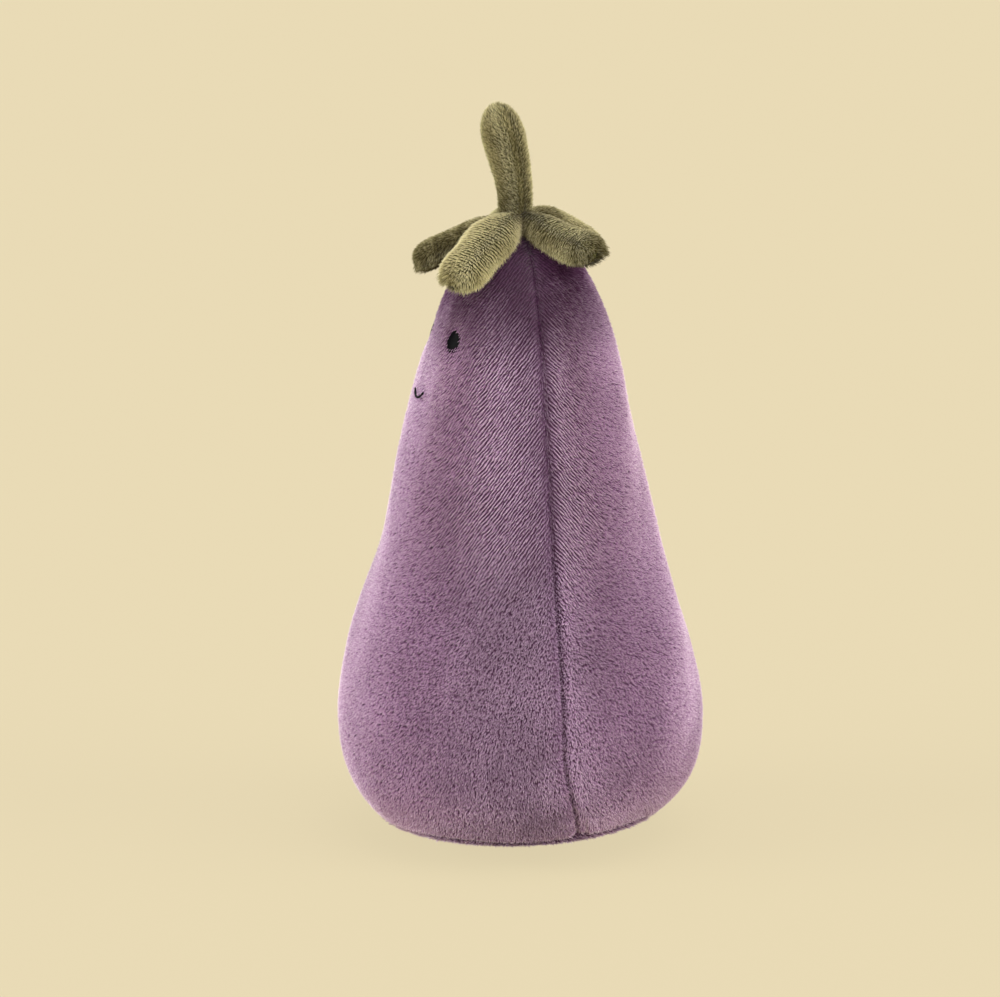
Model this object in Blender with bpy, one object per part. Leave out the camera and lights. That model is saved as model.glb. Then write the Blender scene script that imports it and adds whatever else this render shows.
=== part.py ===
# Plush eggplant toy: a stuffed pear-shaped body on a weighted base, a five-leaf calyx and a fat stem.
# Metres, +Z up, resting on z = 0 with the face towards -Y. Angles are turned from -Y towards +X.

import math

import bmesh
import bpy
import numpy as np
from mathutils import Vector

# Body
BODY_HEIGHT = 0.1440          # floor to the gather where the cloth is drawn together
BODY_RADIUS = 0.0428          # at the widest ring
WIDEST_HEIGHT = 0.0290        # height of the widest ring
GATHER_RADIUS = 0.0045        # opening left at the gather
FLAT_SPOT_RADIUS = 0.0180     # the part of the base that touches the floor
BASE_RING_RADIUS = 0.0340     # seam between the base and the sides
BASE_RING_HEIGHT = 0.0060
CLOTH = 0.0030                # cloth with its pile
SIDE_SEAM_ANGLE = 77.5        # side seams, either side of the face
SIDE_SEAM_SWING = 9.5         # how far they swing back by the time they reach the base
BACK_SEAM_ANGLE = 180.0

# Shape of the body above its widest ring: share of the way up, share of the widest radius
BODY_TAPER = [(0.0, 1.0), (0.14, 0.944), (0.36, 0.757), (0.58, 0.629), (0.79, 0.486), (0.91, 0.34)]

# Seams
THREAD_RADIUS = 0.00035
SEAM_GAP = 0.0014             # between two cloth edges, with the thread between them
THREAD_DEPTH = 0.0010         # how deep a seam thread lies under the pile
CLEARANCE = 0.0003            # between pieces that touch in the real toy

# Weight in the base
POUCH_SIDE_ROOM = 0.0010      # between the pouch's rim and the base seam's cloth
POUCH_HEIGHT = 0.0166
POUCH_CLOTH = 0.0008

# Calyx
LEAF_WIDTH = 0.0084
LEAF_CLOTH = 0.0024
CALYX_HOLE_MARGIN = 0.0005    # round the stem's foot
CALYX_LIFT = 0.0009           # over the gather, with room for the thread that holds it
CALYX_STITCH_OUT = 0.0016     # how far outside the gather that thread runs
LEAVES = [                    # angle, reach from the middle, how far the tip hangs
    (-44.0, 0.0270, 0.0130),
    (24.0, 0.0280, 0.0125),
    (107.0, 0.0290, 0.0075),
    (194.0, 0.0270, 0.0110),
    (259.0, 0.0265, 0.0115),
]

# Stem
STEM_HEIGHT = 0.0230
STEM_FOOT_RADIUS = 0.0044
STEM_TOP_RADIUS = 0.0053
STEM_CLOTH = 0.0022
STEM_FOOT = Vector((-0.0007, -0.0014))
STEM_LEAN = Vector((-0.0016, -0.0032))

# Face
FACE_TURN = -9.5              # the middle of the face, as it is sewn
EYE_ANGLE = 25.0              # either side of the middle of the face
EYE_HEIGHT = 0.1180           # above the floor
EYE_WIDTH = 0.0040
EYE_LENGTH = 0.0050
EYE_DOME = 0.0014
EYE_POINT = 0.28              # how far the top of the oval is drawn in
SHANK_RADIUS = 0.0010
WASHER_RADIUS = 0.0030
WASHER_THICKNESS = 0.0008
SMILE_TURN = -8.0
SMILE_HEIGHT = 0.1053
SMILE_WIDTH = 0.0060
SMILE_DEPTH = 0.0015


# ---- materials

def material(name, colour, roughness, metallic=0.0):
    made = bpy.data.materials.new(name)
    made.use_nodes = True
    shader = made.node_tree.nodes["Principled BSDF"]
    shader.inputs["Base Color"].default_value = (*colour, 1.0)
    shader.inputs["Roughness"].default_value = roughness
    shader.inputs["Metallic"].default_value = metallic
    return made


def make_materials():
    return {
        "purple_plush": material("purple_plush", (0.26, 0.15, 0.23), 0.95),
        "green_plush": material("green_plush", (0.19, 0.16, 0.08), 0.95),
        "fibre": material("fibre", (0.86, 0.85, 0.82), 1.0),
        "pouch_cloth": material("pouch_cloth", (0.70, 0.68, 0.62), 0.9),
        "pellets": material("pellets", (0.80, 0.80, 0.78), 0.5),
        "purple_thread": material("purple_thread", (0.10, 0.05, 0.09), 0.7),
        "green_thread": material("green_thread", (0.10, 0.09, 0.04), 0.7),
        "black_thread": material("black_thread", (0.012, 0.012, 0.013), 0.6),
        "black_plastic": material("black_plastic", (0.008, 0.008, 0.010), 0.2),
        "clear_plastic": material("clear_plastic", (0.75, 0.75, 0.73), 0.4),
    }


# ---- mesh helpers

def add_object(name, points, faces, look):
    mesh = bpy.data.meshes.new(name)
    mesh.from_pydata([tuple(p) for p in points], [], faces)
    work = bmesh.new()
    work.from_mesh(mesh)
    bmesh.ops.recalc_face_normals(work, faces=work.faces)
    work.to_mesh(mesh)
    work.free()
    mesh.shade_smooth()
    mesh.set_sharp_from_angle(angle=math.radians(40))
    mesh.materials.append(look)
    made = bpy.data.objects.new(name, mesh)
    bpy.context.scene.collection.objects.link(made)
    return made


def polar(angle, radius, height):
    turn = math.radians(angle)
    return Vector((radius * math.sin(turn), -radius * math.cos(turn), height))


def loft(name, loops, look, closed_path=False):
    # Skin between loops with the same number of points; open ends are filled with a fan
    count = len(loops[0])
    points = [p for loop in loops for p in loop]
    faces = []
    last = len(loops) if closed_path else len(loops) - 1
    for i in range(last):
        a = i * count
        b = ((i + 1) % len(loops)) * count
        for j in range(count):
            k = (j + 1) % count
            faces.append((a + j, a + k, b + k, b + j))
    if not closed_path:
        for i in (0, len(loops) - 1):
            middle = sum((Vector(p) for p in loops[i]), Vector()) / count
            points.append(middle)
            hub = len(points) - 1
            faces.extend((i * count + j, i * count + (j + 1) % count, hub) for j in range(count))
    return add_object(name, points, faces, look)


def turned(name, outline, look, sides=40, centre=lambda height: Vector((0.0, 0.0))):
    # Solid of revolution; an outline point at radius 0 becomes a pole
    points = []
    rows = []
    for radius, height in outline:
        middle = centre(height)
        if radius < 1e-9:
            points.append((middle.x, middle.y, height))
            rows.append([len(points) - 1] * sides)
            continue
        row = []
        for j in range(sides):
            spot = polar(360.0 * j / sides, radius, height)
            points.append((spot.x + middle.x, spot.y + middle.y, height))
            row.append(len(points) - 1)
        rows.append(row)
    faces = []
    for i, low in enumerate(rows):
        high = rows[(i + 1) % len(rows)]
        if i == len(rows) - 1 and outline[0][0] < 1e-9 and outline[-1][0] < 1e-9:
            break
        for j in range(sides):
            k = (j + 1) % sides
            corners = (low[j], low[k], high[k], high[j])
            faces.append(tuple(dict.fromkeys(corners)))
    return add_object(name, points, faces, look)


def thread(name, route, look, sides=6, closed=False, radius=THREAD_RADIUS):
    # Round thread along a route of points
    loops = []
    count = len(route)
    side = None
    for i, spot in enumerate(route):
        before = route[i - 1] if closed or i > 0 else spot
        after = route[(i + 1) % count] if closed or i < count - 1 else spot
        ahead = (after - before).normalized()
        if side is None:
            side = ahead.orthogonal().normalized()
        side = (side - ahead * side.dot(ahead)).normalized()
        up = ahead.cross(side)
        loops.append([
            spot + side * (radius * math.cos(2 * math.pi * j / sides))
            + up * (radius * math.sin(2 * math.pi * j / sides))
            for j in range(sides)
        ])
    return loft(name, loops, look, closed_path=closed)


def ring_thread(name, radius, height, look, centre=(0.0, 0.0), segments=48):
    # A level ring: each cross-section stands in a plane through the axis
    loops = []
    for i in range(segments):
        angle = 360.0 * i / segments
        loop = []
        for j in range(6):
            around = 2 * math.pi * j / 6
            spot = polar(angle, radius + THREAD_RADIUS * math.cos(around),
                         height + THREAD_RADIUS * math.sin(around))
            loop.append(spot + Vector((centre[0], centre[1], 0.0)))
        loops.append(loop)
    return loft(name, loops, look, closed_path=True)


# ---- the body's outline

def smooth_radius(height):
    # Cubic through the taper's points, without overshoot
    rise = BODY_HEIGHT - WIDEST_HEIGHT
    stops = [WIDEST_HEIGHT + share * rise for share, _ in BODY_TAPER] + [BODY_HEIGHT]
    radii = [BODY_RADIUS * share for _, share in BODY_TAPER] + [GATHER_RADIUS]
    slopes = np.diff(radii) / np.diff(stops)
    tangents = [0.0]
    for before, after in zip(slopes[:-1], slopes[1:]):
        tangents.append(2 * before * after / (before + after) if before * after > 0 else 0.0)
    tangents.append(slopes[-1] * 1.6)
    i = int(np.clip(np.searchsorted(stops, height) - 1, 0, len(stops) - 2))
    span = stops[i + 1] - stops[i]
    t = (height - stops[i]) / span
    return ((2 * t**3 - 3 * t**2 + 1) * radii[i] + (t**3 - 2 * t**2 + t) * span * tangents[i]
            + (3 * t**2 - 2 * t**3) * radii[i + 1] + (t**3 - t**2) * span * tangents[i + 1])


def body_outline():
    # From the middle of the base, out along it, and up the side to the gather
    spots = [(r, 0.0) for r in np.linspace(0.0, FLAT_SPOT_RADIUS, 20)]
    for share in np.linspace(0.0, 1.0, 40)[1:]:
        radius = FLAT_SPOT_RADIUS + share * (BASE_RING_RADIUS - FLAT_SPOT_RADIUS)
        spots.append((radius, BASE_RING_HEIGHT * share**1.6))
    for share in np.linspace(0.0, 1.0, 60)[1:]:
        radius = BASE_RING_RADIUS + (BODY_RADIUS - BASE_RING_RADIUS) * (1 - (1 - share) ** 2.6)
        spots.append((radius, BASE_RING_HEIGHT + share * (WIDEST_HEIGHT - BASE_RING_HEIGHT)))
    spots += [(smooth_radius(z), z) for z in np.linspace(WIDEST_HEIGHT, BODY_HEIGHT, 160)[1:]]
    return np.array(spots)


class Outline:
    def __init__(self):
        self.spots = body_outline()
        steps = np.hypot(*np.diff(self.spots, axis=0).T)
        self.along = np.concatenate([[0.0], np.cumsum(steps)])
        self.length = float(self.along[-1])
        self.ring = float(np.interp(BASE_RING_HEIGHT, self.spots[:, 1], self.along))

    def point(self, s, depth=0.0):
        # Radius and height at a distance along the outline, a depth below the outer face
        reach = CLOTH                       # the lean is taken over one thickness of cloth
        low, high = max(s - reach, 0.0), min(s + reach, self.length)
        here = np.array([np.interp(s, self.along, self.spots[:, k]) for k in (0, 1)])
        run = np.array([np.interp(high, self.along, self.spots[:, k])
                        - np.interp(low, self.along, self.spots[:, k]) for k in (0, 1)])
        run /= np.hypot(*run)
        outward = np.array([run[1], -run[0]])
        return here - outward * depth, outward

    def at_height(self, height):
        return float(np.interp(height, self.spots[:, 1], self.along))


def seam_angle(angle, height):
    # Side seams swing back near the base; the back seam runs straight
    if abs(angle) == BACK_SEAM_ANGLE:
        return angle
    fall = min(max(1.0 - (height - BASE_RING_HEIGHT) / (WIDEST_HEIGHT - BASE_RING_HEIGHT), 0.0), 1.0)
    return angle + math.copysign(SIDE_SEAM_SWING * fall**1.5, angle)


# ---- cloth pieces of the body

def body_panel(name, outline, start, end, look, columns, rows=26):
    # One gore, from the seam at angle start to the seam at angle end
    low = outline.ring + SEAM_GAP / 2
    points = []
    for depth in (0.0, CLOTH):
        for i in range(rows + 1):
            s = low + (outline.length - low) * i / rows
            (radius, height), _ = outline.point(s, depth)
            (outer_radius, outer_height), _ = outline.point(s)
            margin = math.degrees(SEAM_GAP / 2 / outer_radius)
            first = seam_angle(start, outer_height) + margin
            final = seam_angle(end, outer_height) - margin
            points += [polar(first + (final - first) * j / columns, radius, height)
                       for j in range(columns + 1)]
    width = columns + 1
    inner = (rows + 1) * width
    faces = []
    for i in range(rows):
        for j in range(columns):
            a = i * width + j
            faces.append((a, a + 1, a + width + 1, a + width))
            faces.append((inner + a, inner + a + width, inner + a + width + 1, inner + a + 1))
    for i in range(rows):
        for a, b in ((i * width, (i + 1) * width), (i * width + columns, (i + 1) * width + columns)):
            faces.append((a, b, inner + b, inner + a))
    for j in range(columns):
        for a in (j, rows * width + j):
            faces.append((a, a + 1, inner + a + 1, inner + a))
    return add_object(name, points, faces, look)


def base_panel(outline, look):
    # Round base: flat in the middle, turned up to its seam
    rim = outline.ring - SEAM_GAP / 2
    outer = [tuple(outline.point(s)[0]) for s in np.linspace(FLAT_SPOT_RADIUS, rim, 7)]
    inner = [tuple(outline.point(s, CLOTH)[0]) for s in np.linspace(rim, FLAT_SPOT_RADIUS, 7)]
    shape = [(0.0, 0.0), (FLAT_SPOT_RADIUS / 2, 0.0)] + outer + inner
    shape += [(FLAT_SPOT_RADIUS / 2, CLOTH), (0.0, CLOTH)]
    return turned("base_panel", shape, look, sides=48)


def seam_threads(outline, looks):
    low = outline.ring + SEAM_GAP
    high = outline.length - THREAD_RADIUS
    for name, angle in (("left_seam_thread", SIDE_SEAM_ANGLE), ("right_seam_thread", -SIDE_SEAM_ANGLE),
                        ("back_seam_thread", BACK_SEAM_ANGLE)):
        route = []
        for s in np.linspace(low, high, 34):
            (radius, height), _ = outline.point(s, THREAD_DEPTH)
            outer_height = outline.point(s)[0][1]
            route.append(polar(seam_angle(angle, outer_height), radius, height))
        thread(name, route, looks["purple_thread"])
    radius, height = outline.point(outline.ring, THREAD_DEPTH)[0]
    ring_thread("base_seam_thread", radius, height, looks["purple_thread"], segments=48)


# ---- what the body holds

def pouch_half(share, inset):
    # Quarter of the lens-shaped pouch: radius and rise for a share from the rim to the middle
    turn = math.pi / 2 * share
    radius = BASE_RING_RADIUS - CLOTH - POUCH_SIDE_ROOM
    return ((radius - inset) * math.cos(turn), (POUCH_HEIGHT / 2 - inset) * math.sin(turn))


def pouch_middle():
    return CLOTH + CLEARANCE + POUCH_HEIGHT / 2


def pellet_pouch(looks):
    # Two discs of cloth sewn rim to rim round the pellets
    middle = pouch_middle()
    shares = np.linspace(0.0, 1.0, 7)
    for name, way in (("pouch_upper", 1.0), ("pouch_lower", -1.0)):
        lift = way * CLEARANCE / 2
        skin = [pouch_half(share, 0.0) for share in shares]
        lining = [pouch_half(share, POUCH_CLOTH) for share in shares[::-1]]
        shape = [(r if r > 1e-6 else 0.0, middle + lift + way * rise) for r, rise in skin + lining]
        turned(name, shape, looks["pouch_cloth"], sides=36)
    fill = [pouch_half(share, POUCH_CLOTH + CLEARANCE) for share in shares]
    shape = [(r if r > 1e-6 else 0.0, middle - rise) for r, rise in fill[::-1]]
    shape += [(r if r > 1e-6 else 0.0, middle + rise) for r, rise in fill[1:]]
    turned("pellet_fill", shape, looks["pellets"], sides=36)


def body_filling(outline, look):
    # Fibre from the top of the pouch up to the gather
    middle = pouch_middle()
    depth = CLOTH + CLEARANCE
    hollow = [pouch_half(share, -2 * CLEARANCE) for share in np.linspace(1.0, 0.0, 7)]
    shape = [(r if r > 1e-6 else 0.0, middle + CLEARANCE + rise) for r, rise in hollow]
    inner = [tuple(outline.point(s, depth)[0])
             for s in np.linspace(outline.ring, outline.length, 34)]
    floor = middle + CLEARANCE
    shape += [spot for spot in inner if spot[1] > floor + CLEARANCE and spot[0] > CLEARANCE]
    shape.append((0.0, inner[-1][1]))
    return turned("body_filling", shape, look, sides=40)


# ---- face

def face_frame(outline, angle, height):
    # Place on the body's outer face, with its outward, sideways and upward directions
    (radius, level), (out_radial, out_up) = outline.point(outline.at_height(height))
    turn = math.radians(angle)
    outward = Vector((out_radial * math.sin(turn), -out_radial * math.cos(turn), out_up))
    sideways = Vector((math.cos(turn), math.sin(turn), 0.0))
    return polar(angle, radius, level), outward, sideways, outward.cross(sideways)


def circle(place, sideways, upward, radius, sides=24):
    turns = [2 * math.pi * j / sides for j in range(sides)]
    return [place + sideways * (radius * math.cos(turn)) + upward * (radius * math.sin(turn))
            for turn in turns]


def cut(target, cutter):
    cutter.hide_render = True
    cutter.display_type = "WIRE"
    step = target.modifiers.new("cut_" + cutter.name, "BOOLEAN")
    step.operation = "DIFFERENCE"
    step.object = cutter


def eye(name, outline, angle, looks, panel, filling):
    place, outward, sideways, upward = face_frame(outline, angle, EYE_HEIGHT)

    def disc(level, radius):
        return circle(place + outward * level, sideways, upward, radius)

    def oval(level, share):
        # A drop: an oval drawn in a little towards its top
        spots = []
        for spot in circle(Vector(), Vector((1, 0, 0)), Vector((0, 1, 0)), share):
            narrow = 1.0 - EYE_POINT * max(spot.y, 0.0) / share
            spots.append(place + outward * level + sideways * (EYE_WIDTH / 2 * spot.x * narrow)
                         + upward * (EYE_LENGTH / 2 * spot.y))
        return spots

    washer_top = -(CLOTH + 2 * CLEARANCE)
    shank_end = washer_top - WASHER_THICKNESS - CLEARANCE
    back = 2 * CLEARANCE
    loops = [disc(shank_end, SHANK_RADIUS), disc(back, SHANK_RADIUS), oval(back, 0.97)]
    for share in np.linspace(0.1, 0.96, 6):
        turn = share * math.pi / 2
        loops.append(oval(back + EYE_DOME * math.sin(turn), math.cos(turn) ** 0.6))
    loft(name, loops, looks["black_plastic"])

    bore = SHANK_RADIUS + CLEARANCE
    pocket = WASHER_RADIUS + 2 * CLEARANCE
    cut(panel, loft(name + "_hole", [disc(-2 * CLOTH, bore), disc(CLOTH, bore)],
                    looks["black_plastic"]))
    cut(filling, loft(name + "_pocket", [disc(shank_end - 2 * CLEARANCE, pocket), disc(CLOTH, pocket)],
                      looks["black_plastic"]))
    washer_back = washer_top - WASHER_THICKNESS
    rings = [disc(washer_top, bore), disc(washer_top, WASHER_RADIUS),
             disc(washer_back, WASHER_RADIUS), disc(washer_back, bore)]
    loft(name + "_washer", rings, looks["clear_plastic"], closed_path=True)


def smile(outline, look):
    route = []
    for share in np.linspace(-1.0, 1.0, 15):
        across = share * SMILE_WIDTH / 2
        height = SMILE_HEIGHT + SMILE_DEPTH * (abs(share) ** 1.35 - 0.5)
        radius = outline.point(outline.at_height(height))[0][0]
        angle = SMILE_TURN + math.degrees(across / radius)
        place, outward, _, _ = face_frame(outline, angle, height)
        route.append(place + outward * (THREAD_RADIUS + CLEARANCE))
    thread("smile_thread", route, look)


# ---- calyx and stem

def calyx_outline():
    # Five blunt fingers round the middle: each point with its leaf's reach and hang
    half = LEAF_WIDTH / 2
    spots = []
    for k, (angle, reach, hang) in enumerate(LEAVES):
        before, _, hang_before = LEAVES[k - 1]
        after, _, hang_after = LEAVES[(k + 1) % len(LEAVES)]
        ahead = Vector(polar(angle, 1.0, 0.0)).xy
        aside = Vector((-ahead.y, ahead.x))
        roots = []
        for other in (before, after):
            gap = math.radians(((other - angle + 180.0) % 360.0) - 180.0)
            roots.append(half / math.tan(abs(gap) / 2))
        straight = reach - half
        for t in np.linspace(0.0, 1.0, 6)[:-1]:
            spots.append((ahead * (roots[0] + (straight - roots[0]) * t) - aside * half, reach, hang))
        for turn in np.linspace(-math.pi / 2, math.pi / 2, 8):
            spot = ahead * (straight + half * math.cos(turn)) + aside * (half * math.sin(turn))
            spots.append((spot, reach, hang))
        for t in np.linspace(1.0, 0.0, 6)[1:-1]:
            spots.append((ahead * (roots[1] + (straight - roots[1]) * t) + aside * half, reach, hang))
    return spots


def calyx_layer(name, hole, floor, look, rings=6):
    # One layer of the calyx, from a hole round the middle out to the leaf tips
    spots = calyx_outline()
    centre = STEM_FOOT if hole > 0 else Vector((0.0, 0.0))
    points = []
    inner_radius = max(hole, 0.0015)
    for level in (floor, floor + LEAF_CLOTH):
        for i in range(rings + 1):
            t = i / rings
            for spot, reach, hang in spots:
                start = centre + spot.normalized() * inner_radius
                here = start.lerp(spot, t)
                points.append((here.x, here.y, level - hang * (here.length / reach) ** 2))
    width = len(spots)
    layer = (rings + 1) * width
    faces = []
    for j in range(width):
        k = (j + 1) % width
        for i in range(rings):
            a, b = i * width, (i + 1) * width
            faces.append((a + j, a + k, b + k, b + j))
            faces.append((layer + a + j, layer + b + j, layer + b + k, layer + a + k))
        edge = rings * width
        faces.append((edge + j, edge + k, layer + edge + k, layer + edge + j))
        if hole > 0:
            faces.append((j, layer + j, layer + k, k))
    if hole <= 0:
        for start, level in ((0, floor), (layer, floor + LEAF_CLOTH)):
            points.append((0.0, 0.0, level))
            hub = len(points) - 1
            faces.extend((start + j, start + (j + 1) % width, hub) for j in range(width))
    return add_object(name, points, faces, look)


def stem_centre(foot_height):
    def centre(height):
        rise = min(max((height - foot_height) / STEM_HEIGHT, 0.0), 1.0)
        return STEM_FOOT + STEM_LEAN * rise**1.3
    return centre


def stem_outline(foot_height, inset, steps=9):
    # A fat finger: widening to a round end
    dome = STEM_TOP_RADIUS
    spots = []
    for t in np.linspace(0.0, 1.0, steps):
        height = foot_height + (STEM_HEIGHT - dome) * t
        swell = 0.5 - 0.5 * math.cos(math.pi * t)
        radius = STEM_FOOT_RADIUS + (STEM_TOP_RADIUS - STEM_FOOT_RADIUS) * swell
        spots.append((radius - inset, height))
    shoulder = foot_height + STEM_HEIGHT - dome
    for t in np.linspace(0.0, 1.0, 7)[1:]:
        turn = math.pi / 2 * t
        radius = (STEM_TOP_RADIUS - inset) * math.cos(turn)
        spots.append((radius if t < 1.0 else 0.0, shoulder + (dome - inset) * math.sin(turn)))
    return spots


def calyx_and_stem(outline, looks):
    underside = BODY_HEIGHT + CALYX_LIFT
    top_layer = underside + LEAF_CLOTH + CLEARANCE
    hole = STEM_FOOT_RADIUS + CALYX_HOLE_MARGIN
    calyx_layer("calyx_underside", 0.0, underside, looks["green_plush"])
    calyx_layer("calyx_top", hole, top_layer, looks["green_plush"])

    stitched = GATHER_RADIUS + CALYX_STITCH_OUT
    side = outline.spots[outline.spots[:, 1] > WIDEST_HEIGHT][::-1]
    body_top = float(np.interp(stitched, side[:, 0], side[:, 1]))
    ring_thread("calyx_seam_thread", stitched, body_top + THREAD_RADIUS + CLEARANCE,
                looks["green_thread"], segments=32)

    foot = top_layer
    centre = stem_centre(foot)
    skin = stem_outline(foot, 0.0)
    lining = stem_outline(foot, STEM_CLOTH)[::-1]
    turned("stem_cover", skin + lining, looks["green_plush"], sides=28, centre=centre)
    packing = stem_outline(foot + CLEARANCE, STEM_CLOTH + CLEARANCE)
    lift = [(0.0, packing[0][1])] + packing
    lowered = [(r, z - 2 * CLEARANCE if i > len(packing) - 6 else z) for i, (r, z) in enumerate(lift)]
    turned("stem_filling", lowered, looks["fibre"], sides=20, centre=centre)

    crease = top_layer + LEAF_CLOTH + THREAD_RADIUS + CLEARANCE
    spread = STEM_FOOT_RADIUS + (STEM_TOP_RADIUS - STEM_FOOT_RADIUS) * 0.12
    ring_thread("stem_seam_thread", spread + THREAD_RADIUS + 2 * CLEARANCE, crease,
                looks["green_thread"], centre=centre(crease), segments=32)


def main():
    for old in list(bpy.data.objects):
        bpy.data.objects.remove(old, do_unlink=True)
    looks = make_materials()
    outline = Outline()
    base_panel(outline, looks["purple_plush"])
    front = body_panel("front_panel", outline, -SIDE_SEAM_ANGLE, SIDE_SEAM_ANGLE,
                       looks["purple_plush"], columns=18)
    body_panel("back_left_panel", outline, SIDE_SEAM_ANGLE, BACK_SEAM_ANGLE,
               looks["purple_plush"], columns=12)
    body_panel("back_right_panel", outline, -BACK_SEAM_ANGLE, -SIDE_SEAM_ANGLE,
               looks["purple_plush"], columns=12)
    seam_threads(outline, looks)
    pellet_pouch(looks)
    filling = body_filling(outline, looks["fibre"])
    eye("left_eye", outline, FACE_TURN + EYE_ANGLE, looks, front, filling)
    eye("right_eye", outline, FACE_TURN - EYE_ANGLE, looks, front, filling)
    smile(outline, looks["black_thread"])
    calyx_and_stem(outline, looks)


main()
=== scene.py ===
import math

import bpy
import numpy as np
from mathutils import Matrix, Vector


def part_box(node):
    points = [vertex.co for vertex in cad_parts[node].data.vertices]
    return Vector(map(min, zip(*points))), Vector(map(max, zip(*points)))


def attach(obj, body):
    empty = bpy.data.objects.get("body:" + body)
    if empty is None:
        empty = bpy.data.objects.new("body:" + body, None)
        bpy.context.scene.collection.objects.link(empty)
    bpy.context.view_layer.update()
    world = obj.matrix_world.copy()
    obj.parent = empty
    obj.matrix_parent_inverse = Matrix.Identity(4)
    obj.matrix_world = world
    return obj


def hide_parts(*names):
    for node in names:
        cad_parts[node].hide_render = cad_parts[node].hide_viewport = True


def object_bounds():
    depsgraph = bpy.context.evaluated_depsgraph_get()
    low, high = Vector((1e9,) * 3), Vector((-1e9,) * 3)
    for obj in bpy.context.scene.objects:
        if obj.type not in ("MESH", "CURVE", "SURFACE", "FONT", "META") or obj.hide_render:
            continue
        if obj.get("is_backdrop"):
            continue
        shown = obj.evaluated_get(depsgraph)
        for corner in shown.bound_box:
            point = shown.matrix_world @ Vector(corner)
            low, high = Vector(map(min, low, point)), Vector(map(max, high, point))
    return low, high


# A plush eggplant toy: stuffed velvet body, five shaggy leaves and a fat stem, round a fixed CAD frame.
# Metres, +Z up. Angles are turned from -Y, where the face looks, towards +X.

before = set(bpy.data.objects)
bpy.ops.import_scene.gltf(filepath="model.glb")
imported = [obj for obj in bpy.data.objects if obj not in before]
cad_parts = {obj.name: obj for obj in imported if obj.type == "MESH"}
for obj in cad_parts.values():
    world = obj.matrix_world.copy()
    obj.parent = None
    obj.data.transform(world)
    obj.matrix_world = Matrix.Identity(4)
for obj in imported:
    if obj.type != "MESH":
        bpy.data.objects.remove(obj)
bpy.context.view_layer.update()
print("frame loaded")

mm = 0.001

# Sizes read off the frame
bodyRadius = -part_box("front_panel")[0].y
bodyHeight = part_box("front_panel")[1].z
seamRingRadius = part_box("base_seam_thread")[1].x
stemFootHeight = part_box("stem_cover")[0].z
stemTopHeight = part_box("stem_cover")[1].z

bodyShape = {
    "pileDepth": 1.15 * mm,        # the cloth lies this far under the tips of the pile
    "clothThickness": 0.9 * mm,
    "lowDent": 0.45 * mm,          # the cloth's extra depth round the bulb, where the pile stands up
    "leafDent": 0.9 * mm,          # how far the leaves press into the top
    "widestHeight": 29 * mm,
    "flatSpot": 14 * mm,           # radius of the base that touches the floor
    "ringHeight": 4.7 * mm,        # where the base is sewn on
    "ringTilt": 1.7 * mm,          # how much the base seam rises round the back
    "tiltTurn": 75,                # degrees: the middle of that rise is a quarter turn further
    "tiltReach": {"base": 22 * mm, "side": 10 * mm},       # how far the cloth follows it
    "gatherRadius": 4.5 * mm,
    "taper": [(0.0, 1.0), (0.14, 0.944), (0.36, 0.757), (0.58, 0.629), (0.79, 0.486), (0.91, 0.34)],
    "sideSeam": 77.5,              # degrees either side of the face
    "seamSwing": 9.5,              # how far the side seams swing back at the base
}


def linear(hexColour):
    # sRGB hex to linear RGBA
    parts = [int(hexColour[i:i + 2], 16) / 255 for i in (1, 3, 5)]
    return [c / 12.92 if c <= 0.04045 else ((c + 0.055) / 1.055) ** 2.4 for c in parts] + [1.0]


def addNode(tree, kind, settings=None, inputs=None):
    # One node with its settings, and its inputs linked or set
    node = tree.nodes.new(kind)
    for key, value in (settings or {}).items():
        setattr(node, key, value)
    for key, value in (inputs or {}).items():
        if isinstance(value, bpy.types.NodeSocket):
            tree.links.new(value, node.inputs[key])
        else:
            node.inputs[key].default_value = value
    return node


def unit(vectors):
    return vectors / np.maximum(np.linalg.norm(vectors, axis=-1, keepdims=True), 1e-12)


def dot(a, b):
    return (a * b).sum(-1, keepdims=True)


def ease(value, low, high):
    t = np.clip((value - low) / (high - low), 0, 1)
    return t * t * (3 - 2 * t)


def around(turn, radius, height):
    # Places at an angle in radians, a radius and a height
    turn, radius, height = np.broadcast_arrays(turn, radius, height)
    return np.stack([radius * np.sin(turn), -radius * np.cos(turn), height], -1)


def slopes(grid, loop):
    # Differences of a grid of places along its rows and its columns
    down = np.gradient(grid, axis=0)
    if loop:
        across = (np.roll(grid, -1, 1) - np.roll(grid, 1, 1)) / 2
    else:
        across = np.gradient(grid, axis=1)
    return down, across


def gridNormals(grid, loop=False):
    down, across = slopes(grid, loop)
    return unit(np.cross(across, down))


def gridFaces(rows, columns, loop=False, flip=False, start=0):
    faces = []
    for i in range(rows - 1):
        for j in range(columns if loop else columns - 1):
            k = (j + 1) % columns
            corners = [start + i * columns + j, start + i * columns + k,
                       start + (i + 1) * columns + k, start + (i + 1) * columns + j]
            faces.append(corners[::-1] if flip else corners)
    return faces


def capFaces(rows, columns, start, end):
    # Fans that close a looped grid at its first and last rows
    last = (rows - 1) * columns
    faces = []
    for j in range(columns):
        k = (j + 1) % columns
        faces.append([k, j, start])
        faces.append([last + j, last + k, end])
    return faces


def meshObject(name, places, faces, material=None, edges=()):
    mesh = bpy.data.meshes.new(name)
    mesh.from_pydata([tuple(p) for p in places], edges, faces)
    mesh.shade_smooth()
    if material:
        mesh.materials.append(material)
    made = bpy.data.objects.new(name, mesh)
    bpy.context.scene.collection.objects.link(made)
    return made


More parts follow.
